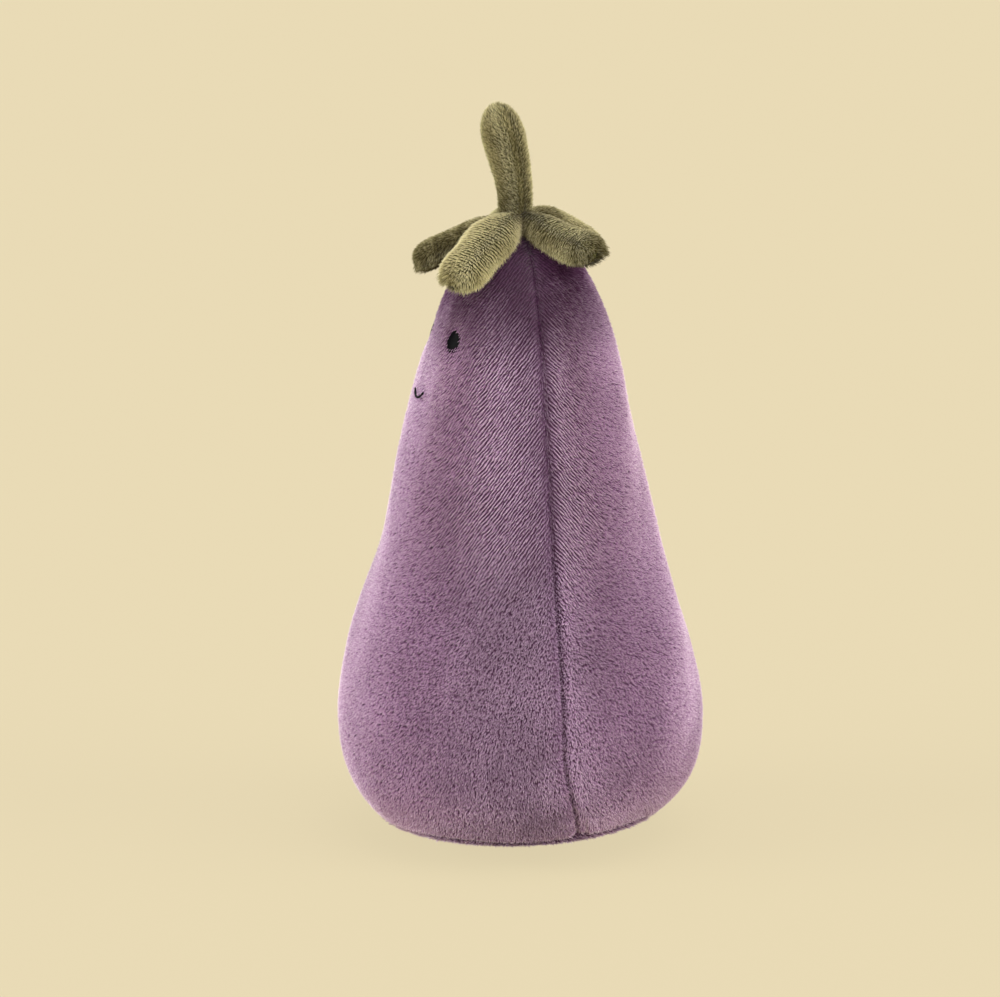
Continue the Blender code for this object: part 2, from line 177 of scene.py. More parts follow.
def loftedPiece(name, loops, material, ends):
    # A closed skin from loops of places, with a pole at each end
    grid = np.asarray(loops)
    rows, columns = grid.shape[:2]
    places = np.concatenate([grid.reshape(-1, 3), np.array(ends)])
    faces = gridFaces(rows, columns, loop=True) + capFaces(rows, columns, len(places) - 2, len(places) - 1)
    return meshObject(name, places, faces, material)


def giveAttribute(piece, name, values):
    values = np.asarray(values, np.float32)
    vector = values.ndim > 1 and values.shape[-1] == 3
    layer = piece.data.attributes.new(name, "FLOAT_VECTOR" if vector else "FLOAT", "POINT")
    layer.data.foreach_set("vector" if vector else "value", values.ravel())


def settle(piece, replaced=()):
    # Ties a finished piece to the frame
    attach(piece, "root")
    if replaced:
        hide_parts(*replaced)


def newMaterial(name):
    made = bpy.data.materials.new(name)
    made.use_nodes = True
    tree = made.node_tree
    return made, tree, tree.nodes["Principled BSDF"]


def colourRamp(tree, share, dark, light, low=0.0, high=1.0):
    ramp = addNode(tree, "ShaderNodeValToRGB", inputs={0: share})
    stops = ramp.color_ramp.elements
    stops[0].position, stops[1].position = low, high
    stops[0].color, stops[1].color = linear(dark), linear(light)
    return ramp


def addBump(tree, shader, height, strength, distance):
    bump = addNode(tree, "ShaderNodeBump",
                   inputs={"Height": height, "Strength": strength, "Distance": distance})
    tree.links.new(bump.outputs["Normal"], shader.inputs["Normal"])


def pileMaterial(name, colours, sheen, sheenTint, roughness):
    # Cut polyester pile: dark where the tufts are rooted, which is painted shade between the tufts, and
    # pale at the tips, which is a painted sheen for the pale rims; each tuft a little off.
    # The sheen lifts the fibres that are seen edge on, which gives the soft rim of velvet.
    made, tree, shader = newMaterial(name)
    tip = addNode(tree, "ShaderNodeAttribute", {"attribute_name": "tip"})
    shade = addNode(tree, "ShaderNodeAttribute", {"attribute_name": "shade"})
    ramp = colourRamp(tree, tip.outputs["Fac"], colours["root"], colours["tip"])
    middle = ramp.color_ramp.elements.new(0.55)
    middle.color = linear(colours["middle"])
    tone = colourRamp(tree, shade.outputs["Fac"], colours["dark"], colours["light"])
    dyedWithPaintedShade = addNode(tree, "ShaderNodeMix", {"data_type": "RGBA", "blend_type": "MULTIPLY"},
                   {0: 1.0, 6: ramp.outputs["Color"], 7: tone.outputs["Color"]})
    tree.links.new(dyedWithPaintedShade.outputs[2], shader.inputs["Base Color"])
    shader.inputs["Roughness"].default_value = roughness
    shader.inputs["Specular IOR Level"].default_value = 0.25
    shader.inputs["Sheen Weight"].default_value = sheen
    shader.inputs["Sheen Roughness"].default_value = 0.45
    shader.inputs["Sheen Tint"].default_value = linear(sheenTint)
    return made


def backingMaterial(name, dark, light):
    # Knitted polyester backing cloth, coloured much darker than the yarn as painted shade: it shows as the
    # dark ground between the tufts
    made, tree, shader = newMaterial(name)
    where = addNode(tree, "ShaderNodeTexCoord")
    knit = addNode(tree, "ShaderNodeTexVoronoi", {"feature": "F1"},
                   {"Vector": where.outputs["Object"], "Scale": 1000 / 0.7})      # stitches of 0.7 mm
    blotch = addNode(tree, "ShaderNodeTexNoise", inputs={"Vector": where.outputs["Object"], "Scale": 140.0})
    mixed = addNode(tree, "ShaderNodeMath", {"operation": "MULTIPLY_ADD"},
                    {0: knit.outputs["Distance"], 1: 0.6, 2: blotch.outputs["Fac"]})
    ramp = colourRamp(tree, mixed.outputs[0], dark, light, 0.35, 0.95)
    tree.links.new(ramp.outputs["Color"], shader.inputs["Base Color"])
    addBump(tree, shader, knit.outputs["Distance"], 0.5, 0.15 * mm)
    shader.inputs["Roughness"].default_value = 0.95
    shader.inputs["Specular IOR Level"].default_value = 0.15
    return made


def threadMaterial(name, dark, light, roughness=0.6):
    # Twisted polyester thread: fine slanting bands where its half-millimetre plies wind round each other
    made, tree, shader = newMaterial(name)
    where = addNode(tree, "ShaderNodeTexCoord")
    ply = addNode(tree, "ShaderNodeTexWave", {"bands_direction": "DIAGONAL"},
                  {"Vector": where.outputs["Object"], "Scale": 628.0, "Distortion": 1.5})
    ramp = colourRamp(tree, ply.outputs["Fac"], dark, light)
    tree.links.new(ramp.outputs["Color"], shader.inputs["Base Color"])
    addBump(tree, shader, ply.outputs["Fac"], 0.6, 0.08 * mm)
    shader.inputs["Roughness"].default_value = roughness
    shader.inputs["Specular IOR Level"].default_value = 0.2
    return made


def grainedMaterial(name, dark, light, roughness, grainMm, gloss=0.5):
    # A fine, cloudy grain in colour and polish: flow marks on moulded plastic, fibre in filling and cloth
    made, tree, shader = newMaterial(name)
    where = addNode(tree, "ShaderNodeTexCoord")
    grain = addNode(tree, "ShaderNodeTexNoise",
                    inputs={"Vector": where.outputs["Object"], "Scale": 1000 / grainMm, "Detail": 3.0})
    ramp = colourRamp(tree, grain.outputs["Fac"], dark, light)
    rough = addNode(tree, "ShaderNodeMapRange", inputs={0: grain.outputs["Fac"], 3: roughness * 0.8,
                                                       4: roughness * 1.25})
    tree.links.new(ramp.outputs["Color"], shader.inputs["Base Color"])
    tree.links.new(rough.outputs[0], shader.inputs["Roughness"])
    shader.inputs["Specular IOR Level"].default_value = gloss
    return made


materials = {
    # in the pile colours the dark root is painted shade between the tufts and the pale tip a painted sheen
    "purplePile": pileMaterial("cut polyester plush pile, aubergine",
                               {"root": "#704a6e", "middle": "#b68fb8", "tip": "#f4e9ed",
                                "dark": "#6b4867", "light": "#ffffff"}, 0.3, "#fdf2f5", 0.9),
    "greenPile": pileMaterial("long polyester plush pile, olive",
                              {"root": "#2e2910", "middle": "#bdb582", "tip": "#e2dab4",
                               "dark": "#6f6a52", "light": "#ffffff"}, 0.3, "#f6f4e6", 0.9),
    # the backing colours are darkened as painted shade between the tufts
    "purpleCloth": backingMaterial("knitted polyester backing, aubergine", "#3a2537", "#5e435b"),
    "greenCloth": backingMaterial("knitted polyester backing, olive", "#2e2c18", "#4d4a2c"),
    # the aubergine thread is near black: painted shade of the seam groove it lies in
    "purpleThread": threadMaterial("twisted polyester sewing thread, aubergine", "#180b17", "#2c172a", 0.9),
    "greenThread": threadMaterial("twisted polyester sewing thread, olive", "#2c2a14", "#4b4726"),
    "blackThread": threadMaterial("embroidery thread, black", "#030304", "#0d0c0f", 0.9),
    # its gloss is kept low, so that the bead stays black under the wide side lamps
    "eyePlastic": grainedMaterial("polished moulded plastic, black", "#020203", "#050507", 0.3, 0.8, 0.012),
}


def taperRadius(heights):
    # Cubic through the taper's points, without overshoot
    base = bodyShape["widestHeight"]
    stops = np.array([base + share * (bodyHeight - base) for share, _ in bodyShape["taper"]] + [bodyHeight])
    radii = np.array([bodyRadius * share for _, share in bodyShape["taper"]] + [bodyShape["gatherRadius"]])
    rates = np.diff(radii) / np.diff(stops)
    lean = [0.0]
    for before, after in zip(rates[:-1], rates[1:]):
        lean.append(2 * before * after / (before + after) if before * after > 0 else 0.0)
    lean = np.array(lean + [rates[-1] * 1.6])
    i = np.clip(np.searchsorted(stops, heights) - 1, 0, len(stops) - 2)
    span = (stops[1:] - stops[:-1])[i]
    t = (heights - stops[i]) / span
    return ((2 * t**3 - 3 * t**2 + 1) * radii[i] + (t**3 - 2 * t**2 + t) * span * lean[i]
            + (3 * t**2 - 2 * t**3) * radii[i + 1] + (t**3 - t**2) * span * lean[i + 1])


def makeOutline():
    # From the middle of the base, out along it and up the side to the gather
    flat, ring = bodyShape["flatSpot"], seamRingRadius
    ringHeight, widest = bodyShape["ringHeight"], bodyShape["widestHeight"]
    share = np.linspace(0, 1, 60)[1:]
    heights = np.linspace(widest, bodyHeight, 300)[1:]
    radius = np.concatenate([np.linspace(0, flat, 30), flat + share * (ring - flat),
                             ring + (bodyRadius - ring) * (1 - (1 - share) ** 2.6), taperRadius(heights)])
    height = np.concatenate([np.zeros(30), ringHeight * share**1.15,
                             ringHeight + share * (widest - ringHeight), heights])
    along = np.concatenate([[0], np.cumsum(np.hypot(np.diff(radius), np.diff(height)))])
    return along, radius, height


alongLine, radiusLine, heightLine = makeOutline()
outlineLength = alongLine[-1]
ringAlong = float(np.interp(bodyShape["ringHeight"], heightLine, alongLine))


def outlineSpot(along, depth=0.0):
    # Radius and height at a distance along the outline, a depth under the tips of the pile
    reach = 2.0 * mm
    low, high = np.maximum(along - reach, 0), np.minimum(along + reach, outlineLength)
    radius = np.interp(along, alongLine, radiusLine)
    height = np.interp(along, alongLine, heightLine)
    dr = np.interp(high, alongLine, radiusLine) - np.interp(low, alongLine, radiusLine)
    dz = np.interp(high, alongLine, heightLine) - np.interp(low, alongLine, heightLine)
    size = np.hypot(dr, dz)
    return radius - depth * dz / size, height + depth * dr / size


def ringLift(turns, along):
    # The base seam isn't level: how much it lifts the cloth on both sides of it
    reach = np.where(along < ringAlong, bodyShape["tiltReach"]["base"], bodyShape["tiltReach"]["side"])
    near = np.exp(-((along - ringAlong) / reach) ** 2)
    return bodyShape["ringTilt"] * near * (0.6 + 0.5 * np.sin(turns - math.radians(bodyShape["tiltTurn"])))


def clothDepth(along):
    # The cloth lies deeper near the gather, where the leaves press on it
    pressed = ease(along, outlineLength - 15 * mm, outlineLength - 5 * mm)
    upright = ease(along, outlineLength - 75 * mm, outlineLength - 120 * mm)
    return bodyShape["pileDepth"] + bodyShape["leafDent"] * pressed + bodyShape["lowDent"] * upright


def sideSeamTurn(height):
    # Angle of the left side seam, in radians
    low, high = bodyShape["ringHeight"], bodyShape["widestHeight"]
    fall = np.clip(1 - (height - low) / (high - low), 0, 1)
    return np.radians(bodyShape["sideSeam"] + bodyShape["seamSwing"] * fall**1.5)


def panelTurns(panel, along, shares):
    # Angles across a panel at each distance along the outline
    height = np.interp(along, alongLine, heightLine)
    side = sideSeamTurn(height)
    ends = {"front": (-side, side), "back_left": (side, np.full_like(side, math.pi)),
            "back_right": (np.full_like(side, math.pi), 2 * math.pi - side)}[panel]
    return ends[0][:, None] + (ends[1] - ends[0])[:, None] * shares[None, :]


stuffing = {
    "columns": {"front": 24, "back_left": 16, "back_right": 16},
    "rows": 46,
    "baseRows": 7,
    "pressure": 14.0,
    "slack": 1.3 * mm,             # how much smaller the cut is than the stuffed body, between its seams
    "slackEnds": 20 * mm,          # it runs out over this length towards the gather
    "mostMove": 2.6 * mm,
    "frames": 20,
}
panelNames = ("front", "back_left", "back_right")


def stuffedMoves():
    # How far each point of a coarse body moves when it is stuffed, by panel
    alongSide = np.linspace(ringAlong, outlineLength, stuffing["rows"])
    alongBase = np.linspace(0, ringAlong, stuffing["baseRows"] + 1)[1:-1]
    blocks, held = [], []
    for name in panelNames:
        columns = stuffing["columns"][name]
        shares = np.arange(columns) / columns
        lines, grips = [], []
        for along in np.concatenate([alongBase, alongSide]):
            radius, height = outlineSpot(along, clothDepth(along))
            turns = panelTurns(name, np.array([along]), shares)[0]
            bow = np.sin(np.pi * shares) * (stuffing["slack"] if along > ringAlong else 0)
            bow = bow * min((outlineLength - along) / stuffing["slackEnds"], 1.0)
            lines.append(around(turns, radius - bow, height))
            fixed = np.zeros(columns)
            fixed[0] = 1 if along >= ringAlong else 0
            if along <= bodyShape["flatSpot"] or along in (alongSide[0], alongSide[-1]):
                fixed[:] = 1
            grips.append(fixed)
        blocks.append(np.array(lines))
        held.append(np.array(grips))
    grid = np.concatenate(blocks, 1)
    grip = np.concatenate(held, 1)
    rows, columns = grid.shape[:2]
    moves = np.zeros_like(grid)
    moves = pressedCloth(grid, grip, rows, columns)
    first = len(alongBase)
    found = {}
    at = 0
    for name in panelNames:
        count = stuffing["columns"][name]
        block = np.take(moves[first:], range(at, at + count + 1), axis=1, mode="wrap")
        found[name] = (alongSide, np.arange(count + 1) / count, block)
        at += count
    return found


def pressedCloth(grid, grip, rows, columns):
    # A closed coarse body, held along its seams, under pressure: how far each place moves
    places = list(grid.reshape(-1, 3))
    baseHeight = outlineSpot(0.0, bodyShape["pileDepth"])[1]
    places += [np.array([0, 0, baseHeight]), np.array([0, 0, grid[-1, :, 2].mean()])]
    faces = gridFaces(rows, columns, loop=True) + capFaces(rows, columns, len(places) - 2, len(places) - 1)
    body = meshObject("stuffing_trial", places, faces)
    pinned = body.vertex_groups.new(name="sewn")
    weights = np.concatenate([grip.ravel(), [1, 1]])
    pinned.add([int(i) for i in np.flatnonzero(weights > 0.5)], 1.0, "REPLACE")
    cloth = body.modifiers.new("stuffing", "CLOTH")
    cloth.settings.vertex_group_mass = "sewn"
    cloth.settings.quality = 6
    cloth.settings.mass = 0.05
    cloth.settings.tension_stiffness = 12
    cloth.settings.compression_stiffness = 6
    cloth.settings.bending_stiffness = 0.05
    cloth.settings.use_pressure = True
    cloth.settings.uniform_pressure_force = stuffing["pressure"]
    cloth.settings.effector_weights.gravity = 0
    scene = bpy.context.scene
    cloth.point_cache.frame_start, cloth.point_cache.frame_end = 1, stuffing["frames"]
    for number in range(1, stuffing["frames"] + 1):
        scene.frame_set(number)
    shaped = body.evaluated_get(bpy.context.evaluated_depsgraph_get())
    found = np.empty(len(places) * 3)
    shaped.data.vertices.foreach_get("co", found)
    scene.frame_set(1)
    moves = found.reshape(-1, 3)[:rows * columns].reshape(rows, columns, 3) - grid
    size = np.linalg.norm(moves, axis=-1, keepdims=True)
    moves *= np.minimum(1, stuffing["mostMove"] / np.maximum(size, 1e-9))
    print("stuffed: largest move %.2f mm, mean %.2f mm" % (size.max() / mm, size.mean() / mm))
    bpy.data.objects.remove(body, do_unlink=True)
    return moves


def spread(block, rowsAt, columnsAt, rows, columns):
    # Coarse moves read off at finer rows and columns
    tall = np.stack([[np.interp(rows, rowsAt, block[:, j, k]) for j in range(block.shape[1])]
                     for k in range(3)], -1)
    wide = np.stack([[np.interp(columns, columnsAt, tall[:, i, k]) for i in range(len(rows))]
                     for k in range(3)], -1)
    for _ in range(6):
        wide[1:-1] = (wide[:-2] + 2 * wide[1:-1] + wide[2:]) / 4
        wide[:, 1:-1] = (wide[:, :-2] + 2 * wide[:, 1:-1] + wide[:, 2:]) / 4
    return wide


panelCloth = {
    "rows": 124,
    "columns": {"front": 104, "back_left": 72, "back_right": 72},
    "baseRows": 34,
    "baseColumns": 120,
    "seamDepth": 1.5 * mm,         # how far the cloth turns in at a seam
    "seamWidth": 0.85 * mm,
    "pucker": 0.16 * mm,           # small pulls along the seams
    "puckerLength": 5.5 * mm,
    "lump": 0.45 * mm,             # unevenness of the stuffing
    "pleats": 11,                  # at the gather
    "pleatDepth": 0.7 * mm,
    "ribSpacing": 0.76 * mm,       # rows of the pile
    "ribWobble": 0.16 * mm,
    "ribLean": 38,                 # degrees from the upright that the pile lies at, above the bulb
    "foldDepth": 0.7 * mm,         # a short fold beside the left seam, just over the base
    "fillingDepth": 2.75 * mm,     # the frame's filling starts this far in, so no cloth goes deeper
}

# Pairs are a value low on the bulb and what is added to it above, where the pile lies in rows
panelPile = {
    "meets": (50 * mm, 95 * mm),   # the heights over which the pile comes to meet across a side seam
    "rowsStart": (46 * mm, 84 * mm),       # and over which it comes to lie in rows
    "rowsReach": {"front": 32 * mm, "back_left": 12 * mm, "back_right": 12 * mm},
    "hold": (0.1, 0.74),           # how hard the rows hold the tufts
    "length": (0.36, 0.28),
    "loose": (1.0, -0.7),
    "rise": (50, -20),             # degrees off the cloth
    "cover": (1.35, -0.3),
    "tone": 0.4,                   # how pale, before the painted shades that follow are taken off
    # painted shade: a darker band low on the bulb, in from the side seams, strongest on the front
    "bulbShade": {"front": 0.38, "back_left": 0.1, "back_right": 0.1},
    "bulbShadePlace": (13 * mm, 14 * mm),  # its middle, from the side seam, and its spread
    # painted shade in a band beside the side seams, above the bulb, widest on the front
    "seamShade": 0.35,
    "seamShadeReach": {"front": 8 * mm, "back_left": 2.0 * mm, "back_right": 2.0 * mm},
    "lineShade": 0.3,              # painted shade in the seam itself
    "leafShade": 0.75,             # painted shadow under the leaves
    "stemShade": 0.6,              # more painted shadow, close round the stem
}


def lumps(places):
    # Slow unevenness from a few crossed waves
    x, y, z = (places[..., k] / mm for k in range(3))
    return (np.sin(x / 9.1 + z / 13.7) * np.sin(y / 8.3 - z / 17.9 + 1.3)
            + 0.5 * np.sin(x / 5.3 - y / 6.1 + z / 7.9 + 0.4))


def ribLeanAt(height):
    lean = math.radians(panelCloth["ribLean"])
    return lean * (0.12 + 0.88 * ease(height, 12 * mm, 80 * mm))


ribShift = np.concatenate([[0], np.cumsum(np.tan(ribLeanAt((heightLine[1:] + heightLine[:-1]) / 2))
                                          * np.diff(alongLine))])


def napField(grid, away):
    # From a grid of places and the distance across the rows of pile: the way the pile lies,
    # one step across the rows, and the outward directions of the grid
    down, across = slopes(grid, False)
    awayDown, awayAcross = slopes(away[..., None], False)
    aa, bb, ab = dot(down, down), dot(across, across), dot(down, across)
    size = np.maximum(aa * bb - ab * ab, 1e-24)
    climb = ((bb * awayDown - ab * awayAcross) * down + (aa * awayAcross - ab * awayDown) * across) / size
    steep = np.maximum(dot(climb, climb), 1e-12)
    normal = gridNormals(grid)
    nap = unit(np.cross(normal, climb))
    nap *= np.where(nap[..., 2:] > 0, -1, 1)
    return nap, climb / steep, normal


def nodePlace(node):
    # Angle and height of the middle of a node
    low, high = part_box(node)
    middle = (low + high) / 2
    return math.atan2(middle.x, -middle.y), middle.z


def makePanel(name, moves):
    columns = panelCloth["columns"][name]
    evenly = np.linspace(0, 1, columns + 1)
    shares = 0.55 * evenly + 0.45 * (1 - np.cos(np.pi * evenly)) / 2      # closer together at the seams
    ends = np.linspace(0, 1, panelCloth["rows"] + 1)
    along = ringAlong + (outlineLength - ringAlong) * (0.7 * ends + 0.3 * (1 - np.cos(np.pi * ends)) / 2)
    turns = panelTurns(name, along, shares)
    radius, height = outlineSpot(along, clothDepth(along))
    alongSide, coarse, block = moves[name]
    grid = around(turns, radius[:, None], height[:, None]) + spread(block, alongSide, coarse, along, shares)
    grid[..., 2] += ringLift(turns, along[:, None])

    # distances from the seams, in metres
    first, last = turns[:, :1], turns[:, -1:]
    fromFirst, fromLast = (turns - first) * radius[:, None], (last - turns) * radius[:, None]
    fromSide = np.minimum(fromFirst, fromLast)
    fromRing = (along - ringAlong)[:, None]
    fromTop = (outlineLength - along)[:, None]
    normal = gridNormals(grid)
    ringDepth = panelCloth["seamDepth"] * (0.45 if name == "front" else 0.8)
    closed = ease(height, *panelPile["meets"])[:, None]
    sideDepth = panelCloth["seamDepth"] * (1 - 0.6 * closed)
    deep = (sideDepth * np.exp(-(fromSide / panelCloth["seamWidth"]) ** 1.3)
            + ringDepth * np.exp(-(fromRing / panelCloth["seamWidth"]) ** 1.3))
    deep = np.minimum(deep, panelCloth["seamDepth"] * 1.1)
    wave = np.sin(2 * np.pi * along / panelCloth["puckerLength"] + np.sin(along / (7 * mm)) * 1.7)[:, None]
    deep += panelCloth["pucker"] * wave * np.exp(-(fromSide / (4 * mm)) ** 2)
    deep += panelCloth["pleatDepth"] * np.exp(-(fromTop / (7 * mm)) ** 2) * (
        0.5 + 0.5 * np.cos(turns * panelCloth["pleats"]))
    deep -= panelCloth["lump"] * lumps(grid) * ease(fromSide, 0, 15 * mm)
    if name == "back_left":
        fold = np.exp(-((fromFirst - 2.2 * mm) / (0.6 * mm)) ** 2)
        deep += panelCloth["foldDepth"] * fold * ease(height[:, None], 15 * mm, 9 * mm)
    deepest = panelCloth["fillingDepth"] - clothDepth(along)[:, None]
    grid = grid - normal * np.minimum(deep, deepest)[..., None]

    # rows of pile: down and away from the side seams
    side = sideSeamTurn(np.interp(along, alongLine, heightLine))[:, None]
    wobble = panelCloth["ribWobble"] * (lumps(grid * 4.3) + 0.6 * lumps(grid * 9.1))
    apart = side - np.abs(turns) if name == "front" else np.minimum(turns - side, 2 * np.pi - side - turns)
    away = apart * radius[:, None] + np.interp(along, alongLine, ribShift)[:, None] + wobble
    nap, step, normal = napField(grid, away)
    share = ease(fromSide, 0.05 * mm, 0.5 * mm * closed + 0.15 * mm)
    if name == "front":            # the two slants meet in a soft parting down the face
        share = share * ease(np.abs(turns), 0.02, 0.2)
    share = share[..., None]
    nap = unit(nap * share + unit(-slopes(grid, False)[0]) * (1 - share))
    step = step * share
    fromSeam = np.minimum(fromSide, fromRing + 0 * fromSide)

    # how the pile stands
    reach = panelPile["rowsReach"][name]
    high = ease(height, *panelPile["rowsStart"])[:, None]
    high = high * (1 - 0.75 * ease(fromSide, reach * 0.65, reach * 1.25))
    near = ease(fromSeam, 0, 1.6 * mm)
    parted = ease(fromSeam, 0.1 * mm, 0.3 * mm)

    def raised(key):
        return panelPile[key][0] + panelPile[key][1] * high

    # how pale it is: a pale level, less painted shade in the places below
    bulbMiddle, bulbSpread = panelPile["bulbShadePlace"]
    # painted shade low on the bulb, some way in from the side seams
    bulbSide = np.exp(-((fromSide - bulbMiddle) / bulbSpread) ** 2) * (1 - closed)
    # painted shade beside the side seams
    besideSeam = np.exp(-(fromSide / panelPile["seamShadeReach"][name]) ** 2)
    # painted shade in the seam groove
    inSeam = np.exp(-(fromSeam / ((0.3 + 0.7 * closed) * mm)) ** 2)
    # painted shadow under the leaves and round the stem
    underLeaves = (panelPile["leafShade"] * ease(height, bodyHeight - 34 * mm, bodyHeight - 14 * mm)
                   + panelPile["stemShade"] * ease(height, bodyHeight - 14 * mm, bodyHeight - 6 * mm))
    tone = (panelPile["tone"] - panelPile["bulbShade"][name] * bulbSide
            - panelPile["seamShade"] * besideSeam * ease(height, 35 * mm, 85 * mm)[:, None]
            - panelPile["lineShade"] * inSeam - underLeaves[:, None] + 0.06 * lumps(grid * 1.7))
    piece = {"grid": grid, "normal": normal, "nap": nap, "tone": tone, "loose": raised("loose"),
             "ribStep": step * panelCloth["ribSpacing"], "ribPlace": away / panelCloth["ribSpacing"],
             "ribHold": raised("hold"), "pileLength": (0.7 + 0.3 * near) * raised("length"),
             "rise": np.radians(raised("rise") + 6 * (1 - near)),
             "pileCover": (0.04 + 0.96 * np.maximum(parted, closed)) * raised("cover")}
    if name == "front":
        for node in ("left_eye", "right_eye"):
            turn, middle = nodePlace(node)
            across = (turns - turn) * radius[:, None] / (eyeDetail["width"] / 2)
            upward = (height[:, None] - middle) / (eyeDetail["length"] / 2)
            gap = np.hypot(across, upward)
            piece["pileCover"] *= ease(gap, *eyeDetail["parted"])
            piece["pileLength"] *= 0.6 + 0.4 * ease(gap, 1.0, 1.6)
            dent = eyeDetail["dent"] * np.exp(-(gap / 1.1) ** 2)
            piece["grid"] = piece["grid"] - normal * dent[..., None]
        turn, middle = nodePlace("smile_thread")
        halfWidth, halfHeight = smileDetail["pressed"]
        across = (turns - turn) * radius[:, None] / halfWidth
        gap = np.hypot(across, (height[:, None] - middle) / halfHeight)
        piece["pileLength"] *= 0.6 + 0.4 * ease(gap, 0.7, 1.4)
    return piece


def makeBase():
    # Round base: pile combed outwards, pressed flat where the toy stands on it
    evenly = np.linspace(0, 1, panelCloth["baseRows"] + 1)
    along = 1.5 * mm + (ringAlong - 1.5 * mm) * np.sin(evenly * np.pi / 2)
    turns = np.arange(panelCloth["baseColumns"]) / panelCloth["baseColumns"] * 2 * np.pi
    radius, height = outlineSpot(along, bodyShape["pileDepth"])
    grid = around(turns[None, :], radius[:, None], height[:, None])
    grid[..., 2] += ringLift(turns[None, :], along[:, None])
    normal = gridNormals(grid, loop=True)
    fromRing = (ringAlong - along)[:, None]
    deep = 0.8 * panelCloth["seamDepth"] * np.exp(-(fromRing / panelCloth["seamWidth"]) ** 1.3)
    deep = deep + panelCloth["pucker"] * np.sin(turns * 37)[None, :] * np.exp(-(fromRing / (4 * mm)) ** 2)
    deep = np.clip(deep, 0, panelCloth["fillingDepth"] - bodyShape["pileDepth"])
    grid = grid - normal * deep[..., None]
    outward = around(turns[None, :], 1.0, 0.0) + 0 * grid
    nap = unit(outward - normal * dot(outward, normal))
    flat = np.zeros(grid.shape[:2])
    near = ease(fromRing + flat, 0, 1.6 * mm)
    return {"grid": grid, "normal": normal, "nap": nap, "tone": flat + 0.35, "loose": flat + 1,
            "ribStep": grid * 0, "ribPlace": flat, "ribHold": flat, "pileLength": 0.5 + 0.1 * near,
            "rise": flat + math.radians(24), "pileCover": 0.5 + 0.3 * near}


def clothPiece(name, part, material, loop=False):
    # A panel as cloth with a thickness: outer face, lining and edges
    grid = part["grid"]
    rows, columns = grid.shape[:2]
    inner = grid - part["normal"] * bodyShape["clothThickness"]
    count = rows * columns
    places = np.concatenate([grid.reshape(-1, 3), inner.reshape(-1, 3)])
    faces = gridFaces(rows, columns, loop) + gridFaces(rows, columns, loop, flip=True, start=count)
    last = (rows - 1) * columns
    for j in range(columns if loop else columns - 1):
        k = (j + 1) % columns
        faces.append([k, j, count + j, count + k])
        faces.append([last + j, last + k, count + last + k, count + last + j])
    if not loop:
        for i in range(rows - 1):
            a, b = i * columns, (i + 1) * columns
            faces.append([a, b, count + b, count + a])
            a, b = a + columns - 1, b + columns - 1
            faces.append([b, a, count + a, count + b])
    return meshObject(name, places, faces, material)


pileInputs = [("Tufts per mm2", "NodeSocketFloat"), ("Tuft Length", "NodeSocketFloat"),
              ("Tuft Width", "NodeSocketFloat"), ("Scatter", "NodeSocketFloat"),
              ("Unevenness", "NodeSocketFloat"), ("Seed", "NodeSocketInt"), ("Yarn", "NodeSocketMaterial")]


